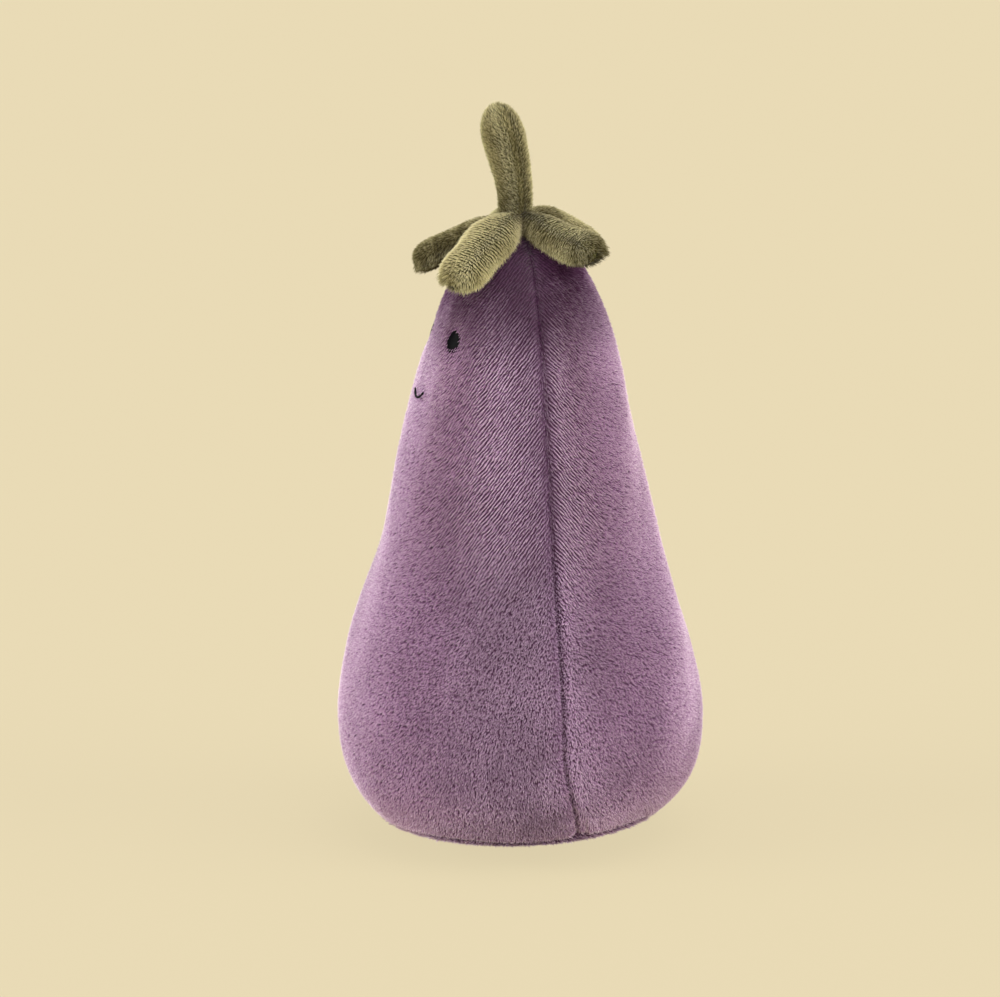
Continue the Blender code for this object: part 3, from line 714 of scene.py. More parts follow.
def pileTree():
    # Tufts scattered over a cloth, pulled onto its rows, laid along its nap
    tree = bpy.data.node_groups.new("plush_pile", "GeometryNodeTree")
    tree.interface.new_socket("Cloth", in_out="INPUT", socket_type="NodeSocketGeometry")
    for label, kind in pileInputs:
        tree.interface.new_socket(label, in_out="INPUT", socket_type=kind)
    tree.interface.new_socket("Pile", in_out="OUTPUT", socket_type="NodeSocketGeometry")
    given = addNode(tree, "NodeGroupInput").outputs

    def maths(operation, *values):
        return addNode(tree, "ShaderNodeMath", {"operation": operation}, dict(enumerate(values))).outputs[0]

    def vectors(operation, *values):
        key = {0: values[0], "Scale": values[1]} if operation == "SCALE" else dict(enumerate(values))
        return addNode(tree, "ShaderNodeVectorMath", {"operation": operation}, key).outputs[0]

    def named(name, kind="FLOAT"):
        node = addNode(tree, "GeometryNodeInputNamedAttribute", {"data_type": kind}, {"Name": name})
        return node.outputs[0]

    def chance(low, high, offset, kind="FLOAT", extra=None):
        node = addNode(tree, "FunctionNodeRandomValue", {"data_type": kind},
                       {"Seed": maths("ADD", given["Seed"], offset)})
        lowHigh = (0, 1) if kind == "FLOAT_VECTOR" else (2, 3)
        node.inputs[lowHigh[0]].default_value, node.inputs[lowHigh[1]].default_value = low, high
        if extra:
            tree.links.new(extra, node.inputs["ID"])
        return node.outputs[0 if kind == "FLOAT_VECTOR" else 1]

    def mottle(scale, detail):
        where = addNode(tree, "GeometryNodeInputPosition").outputs[0]
        noise = addNode(tree, "ShaderNodeTexNoise",
                        inputs={"Vector": where, "Scale": scale, "Detail": detail})
        return maths("SUBTRACT", noise.outputs["Fac"], 0.5)

    # where the tufts stand
    dense = maths("MULTIPLY", maths("MULTIPLY", given["Tufts per mm2"], 1e6), named("pileCover"))
    spots = addNode(tree, "GeometryNodeDistributePointsOnFaces", {"distribute_method": "RANDOM"},
                    {"Mesh": given["Cloth"], "Density": dense, "Seed": given["Seed"]})
    breaks = maths("MULTIPLY", mottle(760.0, 1.0), 1.3)
    place = maths("ADD", named("ribPlace"), breaks)
    row = maths("ROUND", place)
    pull = maths("MULTIPLY", maths("SUBTRACT", row, place), named("ribHold"))
    onRows = addNode(tree, "GeometryNodeSetPosition", inputs={
        "Geometry": spots.outputs["Points"],
        "Offset": vectors("SCALE", named("ribStep", "FLOAT_VECTOR"), pull)})

    # how light each tuft is: by tuft, by row and in slow blotches
    byRow = chance(-0.5, 0.5, 11, extra=row)
    uneven = maths("ADD", maths("MULTIPLY", chance(-0.5, 0.5, 12), 0.9), maths("MULTIPLY", byRow, 0.35))
    uneven = maths("ADD", uneven, maths("MULTIPLY", mottle(90.0, 3.0), 1.2))
    # the cloth's tone carries the painted shade and painted light set on the cloth
    level = maths("ADD", named("tone"), 0.5)
    shade = addNode(tree, "ShaderNodeMath", {"operation": "MULTIPLY_ADD", "use_clamp": True},
                    {0: uneven, 1: given["Unevenness"], 2: level}).outputs[0]
    shaded = addNode(tree, "GeometryNodeStoreNamedAttribute", {"data_type": "FLOAT", "domain": "POINT"},
                     {"Geometry": onRows.outputs[0], "Name": "shade", "Value": shade})

    # one tuft: a three-sided point
    point = addNode(tree, "GeometryNodeMeshCone", {"fill_type": "NGON"}, {
        "Vertices": 3, "Side Segments": 1, "Radius Top": 0.0,
        "Radius Bottom": maths("MULTIPLY", given["Tuft Width"], 0.5), "Depth": given["Tuft Length"]})
    upward = addNode(tree, "ShaderNodeSeparateXYZ",
                     inputs={0: addNode(tree, "GeometryNodeInputPosition").outputs[0]}).outputs["Z"]
    tip = addNode(tree, "ShaderNodeMath", {"operation": "DIVIDE", "use_clamp": True},
                  {0: upward, 1: given["Tuft Length"]}).outputs[0]
    shaped = addNode(tree, "GeometryNodeStoreNamedAttribute", {"data_type": "FLOAT", "domain": "POINT"},
                     {"Geometry": point.outputs["Mesh"], "Name": "tip", "Value": tip})

    # how it lies
    rise = named("rise")
    lying = vectors("ADD", vectors("SCALE", named("nap", "FLOAT_VECTOR"), maths("COSINE", rise)),
                    vectors("SCALE", spots.outputs["Normal"], maths("SINE", rise)))
    stray = vectors("SCALE", chance((-1, -1, -1), (1, 1, 1), 13, "FLOAT_VECTOR"),
                    maths("MULTIPLY", given["Scatter"], named("loose")))
    way = vectors("ADD", lying, stray)
    turned = addNode(tree, "FunctionNodeAxesToRotation", {"primary_axis": "Z", "secondary_axis": "X"},
                     {"Primary Axis": way, "Secondary Axis": spots.outputs["Normal"]})
    longer = maths("MULTIPLY", chance(0.72, 1.22, 14), named("pileLength"))
    wider = maths("MULTIPLY", chance(0.8, 1.2, 15), maths("MULTIPLY_ADD", named("pileLength"), -0.6, 1.42))
    size = addNode(tree, "ShaderNodeCombineXYZ", inputs={"X": wider, "Y": wider, "Z": longer})
    tufts = addNode(tree, "GeometryNodeInstanceOnPoints", inputs={
        "Points": shaded.outputs[0], "Instance": shaped.outputs[0], "Rotation": turned.outputs[0],
        "Scale": size.outputs[0]})
    real = addNode(tree, "GeometryNodeRealizeInstances", inputs={"Geometry": tufts.outputs[0]})
    dyedWithPaintedShade = addNode(tree, "GeometryNodeSetMaterial", inputs={"Geometry": real.outputs[0],
                                                            "Material": given["Yarn"]})
    addNode(tree, "NodeGroupOutput", inputs={0: dyedWithPaintedShade.outputs[0]})
    return tree


def grownPiece(name, source, tree, values):
    # Runs a tree on a source object and keeps the result as a plain mesh
    step = source.modifiers.new("grow", "NODES")
    step.node_group = tree
    for item in tree.interface.items_tree:
        if item.item_type == "SOCKET" and item.in_out == "INPUT" and item.name in values:
            step[item.identifier] = values[item.name]
    source.update_tag()
    view = bpy.context.evaluated_depsgraph_get()
    mesh = bpy.data.meshes.new_from_object(source.evaluated_get(view), preserve_all_data_layers=True,
                                           depsgraph=view)
    mesh.name = name
    source.modifiers.remove(step)
    made = bpy.data.objects.new(name, mesh)
    bpy.context.scene.collection.objects.link(made)
    return made


# what the cloth tells the pile at each place
clothReadings = ("nap", "ribStep", "ribPlace", "ribHold", "pileLength", "rise", "pileCover", "loose",
                 "tone")


def growPile(name, part, tree, values, loop=False):
    grid = part["grid"]
    cloth = meshObject(name + "_ground", grid.reshape(-1, 3), gridFaces(*grid.shape[:2], loop=loop))
    for key in clothReadings:
        giveAttribute(cloth, key, part[key].reshape(-1, 3) if part[key].ndim == 3 else part[key].ravel())
    made = grownPiece(name, cloth, tree, values)
    bpy.data.objects.remove(cloth, do_unlink=True)
    finishPile(made)
    return made


def finishPile(piece):
    # Keeps tufts off the floor, and lays the map by tip and shade so that each tuft keeps its colours
    mesh = piece.data
    count = len(mesh.vertices)
    places = np.empty(count * 3, np.float32)
    mesh.vertices.foreach_get("co", places)
    places = places.reshape(-1, 3)
    places[:, 2] = np.maximum(places[:, 2], 0.03 * mm)
    mesh.vertices.foreach_set("co", places.ravel())
    tip, shade = np.empty(count, np.float32), np.empty(count, np.float32)
    mesh.attributes["tip"].data.foreach_get("value", tip)
    mesh.attributes["shade"].data.foreach_get("value", shade)
    corners = np.empty(len(mesh.loops), np.int32)
    mesh.loops.foreach_get("vertex_index", corners)
    spreadOut = 0.012 * np.sin(np.arange(count) * 2.4)
    layer = mesh.uv_layers.new(name="OFBake")
    across = 0.02 + 0.96 * tip[corners]
    upward = 0.03 + 0.94 * shade[corners] + spreadOut[corners]
    layer.uv.foreach_set("vector", np.stack([across, upward], -1).astype(np.float32).ravel())
    for spare in clothReadings:
        if spare in mesh.attributes:
            mesh.attributes.remove(mesh.attributes[spare])
    mesh.update()
    print(piece.name, "faces", len(mesh.polygons))


bodyPile = {
    "Tufts per mm2": 9.0, "Tuft Length": 2.2 * mm, "Tuft Width": 0.31 * mm, "Scatter": 0.32,
    "Unevenness": 0.36, "Seed": 5,
}
leafPile = {
    "Tufts per mm2": 16.0, "Tuft Length": 1.7 * mm, "Tuft Width": 0.26 * mm, "Scatter": 0.3,
    "Unevenness": 0.8, "Seed": 21,
}
pileBands = {"front": 5, "back_left": 3, "back_right": 3}      # each panel's pile is made in bands
pileSeeds = {"base": 90, "stem": 60}


eyeDetail = {
    "width": 5.1 * mm,
    "length": 6.2 * mm,
    "dome": 0.5 * mm,
    "point": 0.36,                 # how far the top of the oval is drawn in
    "sunk": 1.6 * mm,              # its rim under the tips of the pile
    "back": 0.5 * mm,              # how thick it is under its rim
    "sides": 48,
    "rings": 18,
    "backShare": 0.25,             # of the rings, on the hidden back and the wall
    "parted": (0.84, 0.98),        # the pile starts between these shares of its size
    "dent": 0.35 * mm,             # how far it presses the cloth in
}
smileDetail = {
    "thread": 0.5 * mm,
    "sunk": 0.5 * mm,
    "width": 6.6 * mm,
    "depth": 1.7 * mm,
    "lower": 0.5 * mm,             # the thread pulls the pile down a little
    "pressed": (3.4 * mm, 2.2 * mm),       # half width and half height of the pile it holds down
}


def facePlace(turn, height, depth):
    # A place on the body under the tips of the pile, with outward, sideways and upward directions
    along = np.interp(height, heightLine[heightLine > 0], alongLine[heightLine > 0])
    radius, level = outlineSpot(along, depth)
    above = outlineSpot(along + 1 * mm, depth)
    upward = np.array([(above[0] - radius) * math.sin(turn), -(above[0] - radius) * math.cos(turn),
                       above[1] - level])
    sideways = np.array([math.cos(turn), math.sin(turn), 0])
    upward /= np.linalg.norm(upward)
    return around(turn, radius, level), np.cross(sideways, upward), sideways, upward


def makeEye(name, node):
    # Domed oval, a little pointed at the top, its rim sunk in the pile
    turn, height = nodePlace(node)
    place, outward, sideways, upward = facePlace(turn, height, eyeDetail["sunk"])
    back, backShare = eyeDetail["back"], eyeDetail["backShare"]
    angle = np.arange(eyeDetail["sides"]) / eyeDetail["sides"] * 2 * np.pi
    across, along = np.cos(angle), np.sin(angle)
    across = across * (1 - eyeDetail["point"] * np.maximum(along, 0) ** 1.2)
    loops = []
    for t in np.linspace(0, 1, eyeDetail["rings"]):
        if t < backShare:
            share = 0.55 + 0.45 * t / backShare
            level = -back + back * t / backShare
        else:
            lift = (t - backShare) / (1 - backShare) * np.pi / 2
            share = math.cos(lift) ** 0.8 if lift < np.pi / 2 - 0.01 else 0.03
            level = eyeDetail["dome"] * math.sin(lift)
        loops.append(place + outward * level
                     + sideways * (across * eyeDetail["width"] / 2 * share)[:, None]
                     + upward * (along * eyeDetail["length"] / 2 * share)[:, None])
    ends = [place - outward * back, place + outward * (eyeDetail["dome"] + 0.01 * mm)]
    return loftedPiece(name, loops, materials["eyePlastic"], ends)


def tube(name, route, radius, material, sides=10, twist=0.0):
    # Thread along a route of places, with rounded ends; a twist gives it plies
    route = np.asarray(route)
    count = len(route)
    ahead = unit(np.gradient(route, axis=0))
    side = unit(np.cross(ahead[0], [0.3, 0.2, 0.9]))
    loops = []
    for i in range(count):
        side = unit(side - ahead[i] * (side * ahead[i]).sum())
        up = np.cross(ahead[i], side)
        end = min(i, count - 1 - i) / 3
        size = radius * math.sqrt(max(1 - max(1 - end, 0) ** 2, 0.04))
        angle = np.arange(sides) / sides * 2 * np.pi
        ply = 1 + 0.16 * np.cos(2 * angle + twist * i)
        loops.append(route[i] + (side[None] * np.cos(angle)[:, None] + up[None] * np.sin(angle)[:, None])
                     * (size * ply)[:, None])
    return loftedPiece(name, loops, material, [route[0], route[-1]])


def makeSmile():
    middleTurn, middle = nodePlace("smile_thread")
    middle -= smileDetail["lower"]
    radius = np.interp(middle, heightLine[heightLine > 0], radiusLine[heightLine > 0])
    route = []
    for share in np.linspace(-1, 1, 41):
        height = middle + smileDetail["depth"] * (abs(share) ** 2.1 - 0.5)
        turn = middleTurn + share * smileDetail["width"] / 2 / radius
        route.append(facePlace(turn, height, smileDetail["sunk"])[0])
    return tube("smile", route, smileDetail["thread"] / 2, materials["blackThread"], twist=0.7)


leafShape = {
    # angle, reach, how far the middle line is under the stem's foot at 0.1, 0.4, 0.7 and all of the reach,
    # half width, roll about its own length in degrees, how much lighter its pile is: painted light where
    # above zero, painted shade where below
    "leaves": [
        ("front_right", -44, 23.8, (5.3, 7.7, 10.9, 14.5), 4.3, 8, -0.25),
        ("front_left", 24, 24.8, (4.2, 7.0, 11.1, 15.2), 4.9, 16, 0.4),
        ("left", 107, 24.6, (4.1, 6.3, 8.3, 8.8), 4.2, -14, -0.28),
        ("back", 193, 22.4, (4.4, 5.8, 8.8, 12.4), 3.9, 0, -0.1),
        ("right", 259, 24.0, (4.3, 6.0, 9.7, 13.4), 4.2, 0, 0.0),
    ],
    "start": 1.5 * mm,             # from the middle, under the stem
    "rows": 64,
    "sides": 52,
    "top": 3.7 * mm,               # thickness over and under the edge seam
    "under": 2.2 * mm,
    "seamLow": 0.9 * mm,           # the edge seam is this far under the middle line
    "lump": 0.3 * mm,
    "ribSpacing": 0.75 * mm,
    "swing": 2.5,                  # degrees: how far a leaf wanders off its angle
}
stemShape = {
    "rows": 74,
    "sides": 48,
    "foot": Vector((-0.5, -1.0)) * mm,
    "lean": Vector((-1.7, -3.3)) * mm,
    "footRadius": 3.5 * mm,
    "topRadius": 4.65 * mm,
    "topRoom": 1.5 * mm,           # for the pile over the tip
    "seamTurn": 100,               # where its seam runs, degrees
    "seamDepth": 0.7 * mm,
    "seamWidth": 0.9 * mm,
    "rootDepth": 3.4 * mm,         # how far it goes down into the gather
}


def overBody(places):
    # Moves places that fall inside the body's cloth out to it, so that a leaf lies on the body
    flat = places.reshape(-1, 3)
    along = np.linspace(outlineLength - 60 * mm, outlineLength, 160)
    radius, height = outlineSpot(along, clothDepth(along))
    out = np.hypot(flat[:, 0], flat[:, 1])
    gap = np.hypot(out[:, None] - radius[None], flat[:, 2:] - height[None])
    k = gap.argmin(1)
    slopeR, slopeZ = np.gradient(radius)[k], np.gradient(height)[k]
    size = np.hypot(slopeR, slopeZ)
    normalR, normalZ = slopeZ / size, -slopeR / size
    above = (out - radius[k]) * normalR + (flat[:, 2] - height[k]) * normalZ
    push = np.clip(0.15 * mm - above, 0, 4 * mm) * (flat[:, 2] < bodyHeight - 1 * mm) * (out > 4.5 * mm)
    outward = np.stack([flat[:, 0], flat[:, 1]], -1) / np.maximum(out, 1e-9)[:, None]
    moved = flat.copy()
    moved[:, :2] += outward * (push * normalR)[:, None]
    moved[:, 2] += push * normalZ
    return moved.reshape(places.shape)


def makeLeaf(name, angle, reach, drops, half, roll, paintedLightShade):
    # A stuffed finger: crowned on top, flatter below, pinched along its edge seam
    reach, half = reach * mm, half * mm
    rows, sides = leafShape["rows"], leafShape["sides"]
    t = np.linspace(0, 1, rows)
    t = 0.6 * t + 0.4 * np.sin(t * np.pi / 2)
    out = leafShape["start"] + (reach - leafShape["start"]) * t
    drop = np.polyval(np.polyfit([0.1, 0.4, 0.7, 1.0], drops, 3), out / reach) * mm
    turn = math.radians(angle) + np.radians(leafShape["swing"]) * np.sin(t * 3.4 + angle)
    path = around(turn, out, stemFootHeight - drop - leafShape["seamLow"])
    ahead = unit(np.gradient(path, axis=0))
    side = unit(np.cross(ahead, [0, 0, 1.0]))
    up = np.cross(side, ahead)
    tilt = np.radians(roll) * ease(t, 0.1, 0.6)[:, None]
    side, up = side * np.cos(tilt) + up * np.sin(tilt), up * np.cos(tilt) - side * np.sin(tilt)
    tipShare = np.clip((out - (reach - half * 1.15)) / (half * 1.15), 0, 0.999)
    blunt = (1 - tipShare**2.3) ** (1 / 2.2)
    wide = half * (0.62 + 0.38 * ease(t, 0, 0.42)) * (1 + 0.04 * np.sin(t * 9 + angle)) * blunt
    thick = (0.72 + 0.28 * ease(t, 0, 0.35)) * blunt**0.75
    turning = -np.arange(sides) / sides * 2 * np.pi
    c, s = np.cos(turning), np.sin(turning)
    across = np.sign(c) * np.abs(c) ** 0.85
    lift = np.where(s > 0, leafShape["top"] * np.abs(s) ** 0.85, -leafShape["under"] * np.abs(s) ** 0.9)
    grid = (path[:, None] + side[:, None] * (wide[:, None] * across[None])[..., None]
            + up[:, None] * (thick[:, None] * lift[None])[..., None])
    normal = gridNormals(grid, loop=True)
    grid = grid + normal * (leafShape["lump"] * lumps(grid * 2.6) * blunt[:, None])[..., None]
    edge = np.abs(c)[None, :] ** 5 + 0 * t[:, None]
    grid = overBody(grid)
    normal = gridNormals(grid, loop=True)
    lower = ease(-s, -0.45, 0.35)[None, :] + 0 * edge
    tipNear = ease(out, reach - 4 * mm, reach - 1 * mm)[:, None] + 0 * edge
    fringe = 0.9 * np.exp(-((s[None, :] + 0.1) / 0.42) ** 2) + 0.8 * tipNear * (0.3 + 0.7 * lower)
    fringe = np.clip(fringe, 0, 1)         # longer, looser pile at the edges and the tip
    outward = side[:, None] * (np.sign(c) * np.abs(c) ** 1.4)[None, :, None]
    nap = unit(ahead[:, None] * (0.6 + 0.8 * tipNear)[..., None] + outward * 1.0
               - up[:, None] * (0.8 * edge)[..., None])
    nap = unit(nap - normal * dot(nap, normal) * 0.9)
    length = np.concatenate([[0], np.cumsum(np.linalg.norm(np.diff(path, axis=0), axis=1))])
    flat = np.zeros_like(edge)
    part = {"grid": grid, "normal": normal, "nap": nap,
            "ribStep": ahead[:, None] * leafShape["ribSpacing"] + 0 * grid,
            "ribPlace": length[:, None] / leafShape["ribSpacing"] + 0.3 * lumps(grid * 6),
            "ribHold": 0.65 * (1 - fringe),
            "pileLength": 0.62 + 0.42 * fringe, "rise": np.radians(34 + 8 * fringe),
            "pileCover": 1.0 - 0.55 * (s < -0.6)[None, :] + flat, "loose": 0.6 + 0.5 * fringe,
            # tone: the leaf's painted light level, painted shade on its underside and at its root under the
            # stem, and darker towards the tip
            "tone": 0.14 + paintedLightShade - 0.3 * ease(-s, 0.1, 0.8)[None, :] - 0.24 * tipNear
                    - 0.3 * ease(t, 0.2, 0.05)[:, None]}
    ends = [path[0] - ahead[0] * 0.3 * mm, path[-1] + ahead[-1] * 0.06 * mm]
    cloth = loftedPiece("leaf_" + name + "_cloth", grid, materials["greenCloth"], ends)
    return cloth, part


def makeStem():
    # A fat finger, widening to a round end, with a seam up one side
    rows, sides = stemShape["rows"], stemShape["sides"]
    low, high = stemFootHeight - stemShape["rootDepth"], stemTopHeight - stemShape["topRoom"]
    topRadius, footRadius = stemShape["topRadius"], stemShape["footRadius"]
    t = np.linspace(0, 1, rows)
    t = 0.5 * t + 0.5 * np.sin(t * np.pi / 2)
    height = low + (high - low) * t
    radius = footRadius + (topRadius - footRadius) * ease(height, low, high - 3 * mm)
    domeShare = np.clip((height - (high - topRadius * 1.5)) / (topRadius * 1.5), 0, 0.9995)
    radius = radius * np.sqrt(1 - domeShare**2)
    rise = np.clip((height - stemFootHeight) / (stemTopHeight - stemFootHeight), 0, 1)
    lean = 0.75 * ease(rise, 0.03, 0.97) + 0.25 * rise
    middle = np.stack([stemShape["foot"].x + stemShape["lean"].x * lean,
                       stemShape["foot"].y + stemShape["lean"].y * lean, height], -1)
    turns = np.arange(sides) / sides * 2 * np.pi
    grid = middle[:, None] + around(turns[None, :], radius[:, None], 0.0)
    grid[:, :, :2] *= 1 + 0.03 * lumps(grid * 2.2)[..., None] * (radius / topRadius)[:, None, None]
    normal = gridNormals(grid, loop=True)
    seamTurn = math.radians(stemShape["seamTurn"])
    fromSeam = np.abs((turns - seamTurn + np.pi) % (2 * np.pi) - np.pi)
    fromSeam = fromSeam[None, :] * np.maximum(radius, 1 * mm)[:, None]
    deep = stemShape["seamDepth"] * np.exp(-(fromSeam / stemShape["seamWidth"]) ** 2)
    deep = deep * ease(1 - domeShare, 0, 0.4)[:, None]
    grid = grid - normal * deep[..., None]
    up = unit(slopes(grid, True)[0])
    swing = np.sin(turns - seamTurn)[None, :, None] * np.exp(-(fromSeam / (4 * mm)) ** 2)[..., None]
    sideways = around(turns[None, :] + np.pi / 2, 1.0, 0.0)
    nap = unit(up + sideways * swing * 2.2)
    flat = np.zeros(grid.shape[:2])
    topNear = ease(height, high - 6 * mm, high)[:, None] + flat
    part = {"grid": grid, "normal": normal, "nap": nap,
            "ribStep": grid * 0, "ribPlace": flat, "ribHold": flat,
            "pileLength": 0.58 + 0.12 * topNear, "rise": np.radians(32) + flat, "loose": 1.1 + flat,
            "pileCover": 0.35 + 0.65 * ease(fromSeam, 0.1 * mm, 0.7 * mm),
            # tone: painted shade at the stem's foot among the leaves, and a little darker towards the
            # rounded end
            "tone": 0.12 - 0.1 * topNear - 0.24 * ease(height, stemFootHeight + 7 * mm,
                                                       stemFootHeight - 2 * mm)[:, None]}
    ends = [middle[0], middle[-1] + np.array([0, 0, 0.03 * mm])]
    return loftedPiece("stem_cloth", grid, materials["greenCloth"], ends), part


stitchDetail = {
    "pitch": 2.4 * mm,
    "length": 1.7 * mm,
    "thickness": 0.36 * mm,
}


def stitchTree():
    # Short stitches along a route
    tree = bpy.data.node_groups.new("seam_stitches", "GeometryNodeTree")
    tree.interface.new_socket("Route", in_out="INPUT", socket_type="NodeSocketGeometry")
    for label, kind in (("Pitch", "NodeSocketFloat"), ("Stitch Length", "NodeSocketFloat"),
                        ("Thickness", "NodeSocketFloat"), ("Seed", "NodeSocketInt"),
                        ("Thread", "NodeSocketMaterial")):
        tree.interface.new_socket(label, in_out="INPUT", socket_type=kind)
    tree.interface.new_socket("Stitches", in_out="OUTPUT", socket_type="NodeSocketGeometry")
    given = addNode(tree, "NodeGroupInput").outputs
    line = addNode(tree, "GeometryNodeMeshToCurve", inputs={"Mesh": given["Route"]})
    spots = addNode(tree, "GeometryNodeCurveToPoints", {"mode": "LENGTH"},
                    {"Curve": line.outputs[0], "Length": given["Pitch"]})
    stitch = addNode(tree, "GeometryNodeMeshUVSphere", inputs={"Segments": 6, "Rings": 5, "Radius": 0.5})
    turned = addNode(tree, "FunctionNodeAxesToRotation", {"primary_axis": "Z", "secondary_axis": "X"},
                     {"Primary Axis": spots.outputs["Tangent"], "Secondary Axis": spots.outputs["Normal"]})
    longer = addNode(tree, "FunctionNodeRandomValue", {"data_type": "FLOAT"},
                     {2: 0.85, 3: 1.12, "Seed": given["Seed"]})
    length = addNode(tree, "ShaderNodeMath", {"operation": "MULTIPLY"},
                     {0: given["Stitch Length"], 1: longer.outputs[1]})
    size = addNode(tree, "ShaderNodeCombineXYZ", inputs={"X": given["Thickness"], "Y": given["Thickness"],
                                                         "Z": length.outputs[0]})
    made = addNode(tree, "GeometryNodeInstanceOnPoints", inputs={
        "Points": spots.outputs["Points"], "Instance": stitch.outputs["Mesh"],
        "Rotation": turned.outputs[0], "Scale": size.outputs[0]})
    real = addNode(tree, "GeometryNodeRealizeInstances", inputs={"Geometry": made.outputs[0]})
    dyedWithPaintedShade = addNode(tree, "GeometryNodeSetMaterial", inputs={"Geometry": real.outputs[0],
                                                            "Material": given["Thread"]})
    addNode(tree, "NodeGroupOutput", inputs={0: dyedWithPaintedShade.outputs[0]})
    return tree


def sewnSeam(name, route, tree, material, loop=False, seed=1):
    edges = [(i, i + 1) for i in range(len(route) - 1)] + ([(len(route) - 1, 0)] if loop else [])
    source = meshObject(name + "_route", route, [], edges=edges)
    made = grownPiece(name, source, tree, {
        "Pitch": stitchDetail["pitch"], "Stitch Length": stitchDetail["length"],
        "Thickness": stitchDetail["thickness"], "Seed": seed, "Thread": material})
    bpy.data.objects.remove(source, do_unlink=True)
    return made


moves = stuffedMoves()
print("body stuffed")
pile = pileTree()
panels = {name: makePanel(name, moves) for name in panelNames}
base = makeBase()

for number, name in enumerate(panelNames):
    part = panels[name]
    cloth = clothPiece(name + "_cloth", part, materials["purpleCloth"])
    settle(cloth, (name + "_panel",))
    rows = part["grid"].shape[0]
    cuts = np.linspace(0, rows - 1, pileBands[name] + 1).astype(int)
    for band, (low, high) in enumerate(zip(cuts[:-1], cuts[1:] + 1)):
        cut = {key: (value[low:high] if isinstance(value, np.ndarray) else value)
               for key, value in part.items()}
        values = dict(bodyPile, Yarn=materials["purplePile"], Seed=bodyPile["Seed"] + 10 * number + band)
        settle(growPile(name + "_pile_%d" % (band + 1), cut, pile, values))
baseCloth = clothPiece("base_cloth", base, materials["purpleCloth"], loop=True)
settle(baseCloth, ("base_panel",))
settle(growPile("base_pile", base, pile,
                dict(bodyPile, Yarn=materials["purplePile"], Seed=pileSeeds["base"]), loop=True))
print("body covered")

for node in ("left_eye", "right_eye"):
    settle(makeEye(node + "_bead", node), (node,))
settle(makeSmile(), ("smile_thread",))
print("face made")

for number, spec in enumerate(leafShape["leaves"]):
    leafCloth, leafPart = makeLeaf(*spec)
    settle(leafCloth, ("calyx_top", "calyx_underside"))
    settle(growPile("leaf_" + spec[0] + "_pile", leafPart, pile,
                    dict(leafPile, Yarn=materials["greenPile"], Seed=leafPile["Seed"] + number), loop=True))
stemCloth, stemPart = makeStem()
settle(stemCloth, ("stem_cover",))
settle(growPile("stem_pile", stemPart, pile,
                dict(leafPile, Yarn=materials["greenPile"], Seed=pileSeeds["stem"]), loop=True))
print("leaves and stem made")

sewing = stitchTree()
seamDepth = bodyShape["pileDepth"] + panelCloth["seamDepth"] * 1.1 + 0.1 * mm
seamAlong = np.linspace(ringAlong + 1.5 * mm, outlineLength - 1 * mm, 90)
seamRadius, seamHeight = outlineSpot(seamAlong, seamDepth)
sideTurn = sideSeamTurn(np.interp(seamAlong, alongLine, heightLine))
for name, turns in (("left_seam", sideTurn), ("right_seam", -sideTurn),
                    ("back_seam", np.full_like(sideTurn, math.pi))):
    route = around(turns, seamRadius, seamHeight + ringLift(turns, seamAlong))
    sewn = sewnSeam(name, route, sewing, materials["purpleThread"])
    settle(sewn, (name + "_thread",))
ringTurns = np.linspace(0, 2 * np.pi, 120, endpoint=False)
ringRadius, ringHeight = outlineSpot(ringAlong, seamDepth)
ring = around(ringTurns, ringRadius, ringHeight + ringLift(ringTurns, ringAlong))
settle(sewnSeam("base_seam", ring, sewing, materials["purpleThread"], loop=True),
       ("base_seam_thread",))
for name, radius, height in (("calyx_seam", 6.2 * mm, bodyHeight - 2.6 * mm),
                             ("stem_seam", 3.3 * mm, stemFootHeight - 2.2 * mm)):
    ring = around(np.linspace(0, 2 * np.pi, 40, endpoint=False), radius, height)
    ring[:, :2] += np.array(stemShape["foot"]) if name == "stem_seam" else 0
    settle(sewnSeam(name, ring, sewing, materials["greenThread"], loop=True),
           (name + "_thread",))
print("seams sewn")


innerFinish = {
    "body_filling": ("siliconised polyester fibre filling", "#dedad0", "#f4f2ea", 0.95, 2.0),
    "stem_filling": ("siliconised polyester fibre filling, stem", "#dedad0", "#f4f2ea", 0.95, 1.5),
    "pouch_upper": ("plain woven polycotton, upper", "#c9c3b2", "#ddd8c8", 0.9, 0.5),
    "pouch_lower": ("plain woven polycotton, lower", "#c9c3b2", "#ddd8c8", 0.9, 0.5),
    "pellet_fill": ("polyethylene pellets", "#d5d5cf", "#efefea", 0.45, 3.0),
    "left_eye_washer": ("moulded polypropylene washer, left", "#cfcfc8", "#e4e4de", 0.4, 1.0),
    "right_eye_washer": ("moulded polypropylene washer, right", "#cfcfc8", "#e4e4de", 0.4, 1.0),
}
for node, (label, dark, light, roughness, grain) in innerFinish.items():
    finish = grainedMaterial(label, dark, light, roughness, grain)
    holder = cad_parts[node]
    holder.data.materials.clear()
    holder.data.materials.append(finish)

studio = {
    "floorColour": "#ebddb8",
    "floorGlow": 0.83,             # how bright it is by itself, as a light table is
    "floorPaint": 0.085,
    "floorSize": 7.0,
    "skyColour": "#f4ebf0",
    "skyStrength": 0.94,
    # name, turn, lift, strength, softness in degrees, colour
    "lamps": [
        ("top", 95, 68, 1.4, 45, "#fff8f6"),
        ("sideLeft", -12, 11, 4.9, 45, "#fbfff6"),
        ("sideRight", 138, 11, 3.7, 45, "#fbfff6"),
    ],
}
cameraView = {
    "turn": 63.5,
    "lift": 12.0,
    "distance": 0.90,
    "aimHeight": 78.9 * mm,
    "lens": 141.5,
    "shiftAcross": -0.020,
}


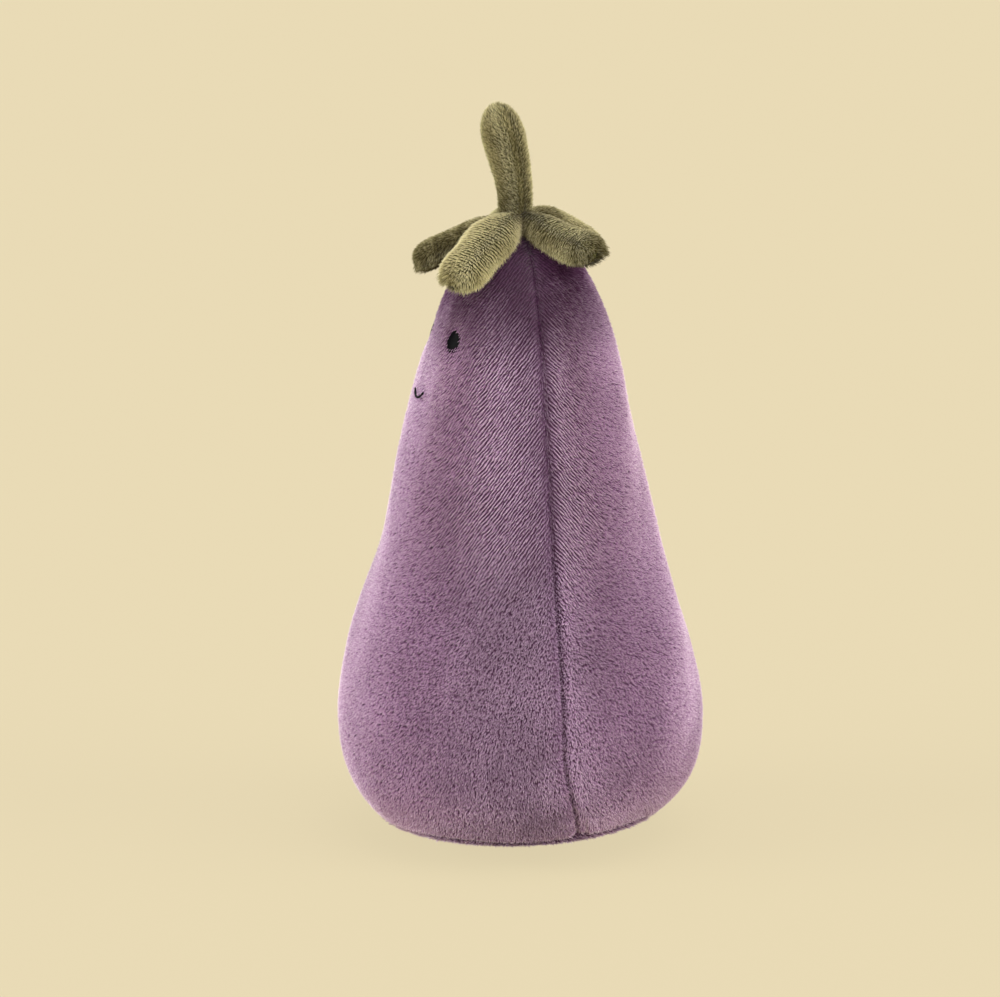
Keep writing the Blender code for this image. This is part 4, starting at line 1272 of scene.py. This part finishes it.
def makeFloor():
    # Matt board, softly lit from within, with a faint mottle
    made, tree, shader = newMaterial("matt painted board, cream")
    where = addNode(tree, "ShaderNodeTexCoord")
    mottle = addNode(tree, "ShaderNodeTexNoise", inputs={"Vector": where.outputs["Object"], "Scale": 3.0})
    ramp = addNode(tree, "ShaderNodeValToRGB", inputs={0: mottle.outputs["Fac"]})
    paint = [c * studio["floorPaint"] for c in linear(studio["floorColour"])[:3]]
    ramp.color_ramp.elements[0].color = [c * 0.97 for c in paint] + [1]      # the mottle is this faint
    ramp.color_ramp.elements[1].color = paint + [1]
    tree.links.new(ramp.outputs["Color"], shader.inputs["Base Color"])
    shader.inputs["Roughness"].default_value = 1.0
    shader.inputs["Specular IOR Level"].default_value = 0.0
    shader.inputs["Emission Color"].default_value = linear(studio["floorColour"])
    shader.inputs["Emission Strength"].default_value = studio["floorGlow"]
    turns = np.arange(96) / 96 * 2 * np.pi
    places = around(turns, studio["floorSize"], 0.0)
    floor = meshObject("floor", places, [list(range(96))], made)
    floor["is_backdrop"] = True


def makeLamps():
    # Soft lamps all round; beyond the floor the backdrop has the floor's colour
    world = bpy.data.worlds.new("studio")
    bpy.context.scene.world = world
    world.use_nodes = True
    tree = world.node_tree
    sky = tree.nodes["Background"]
    sky.inputs["Color"].default_value = linear(studio["skyColour"])
    sky.inputs["Strength"].default_value = studio["skyStrength"]
    backdrop = addNode(tree, "ShaderNodeBackground", inputs={"Color": linear(studio["floorColour"])})
    seen = addNode(tree, "ShaderNodeLightPath")
    mixed = addNode(tree, "ShaderNodeMixShader", inputs={0: seen.outputs["Is Camera Ray"],
                                                         1: sky.outputs[0], 2: backdrop.outputs[0]})
    tree.links.new(mixed.outputs[0], tree.nodes["World Output"].inputs["Surface"])
    for name, turn, lift, strength, softness, colour in studio["lamps"]:
        data = bpy.data.lights.new(name, "SUN")
        data.angle = math.radians(softness)
        data.energy, data.color = strength, linear(colour)[:3]
        lamp = bpy.data.objects.new(name, data)
        lift = math.radians(lift)
        way = Vector(around(math.radians(turn), math.cos(lift), math.sin(lift)))
        lamp.location = way
        lamp.rotation_mode = "QUATERNION"
        lamp.rotation_quaternion = way.to_track_quat("Z", "Y")
        bpy.context.scene.collection.objects.link(lamp)


def makeCamera():
    data = bpy.data.cameras.new("camera")
    data.lens, data.sensor_width = cameraView["lens"], 36.0
    data.shift_x = cameraView["shiftAcross"]
    data.clip_start, data.clip_end = 0.05, 50.0
    camera = bpy.data.objects.new("camera", data)
    lift = math.radians(cameraView["lift"])
    aim = Vector((0, 0, cameraView["aimHeight"]))
    place = aim + Vector(around(math.radians(cameraView["turn"]), cameraView["distance"] * math.cos(lift),
                                cameraView["distance"] * math.sin(lift)))
    camera.location = place
    camera.rotation_mode = "QUATERNION"
    camera.rotation_quaternion = (place - aim).to_track_quat("Z", "Y")
    bpy.context.scene.collection.objects.link(camera)
    bpy.context.scene.camera = camera


makeFloor()
makeLamps()
makeCamera()
bpy.context.scene.view_settings.view_transform = "Standard"
print("studio ready")

low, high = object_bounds()
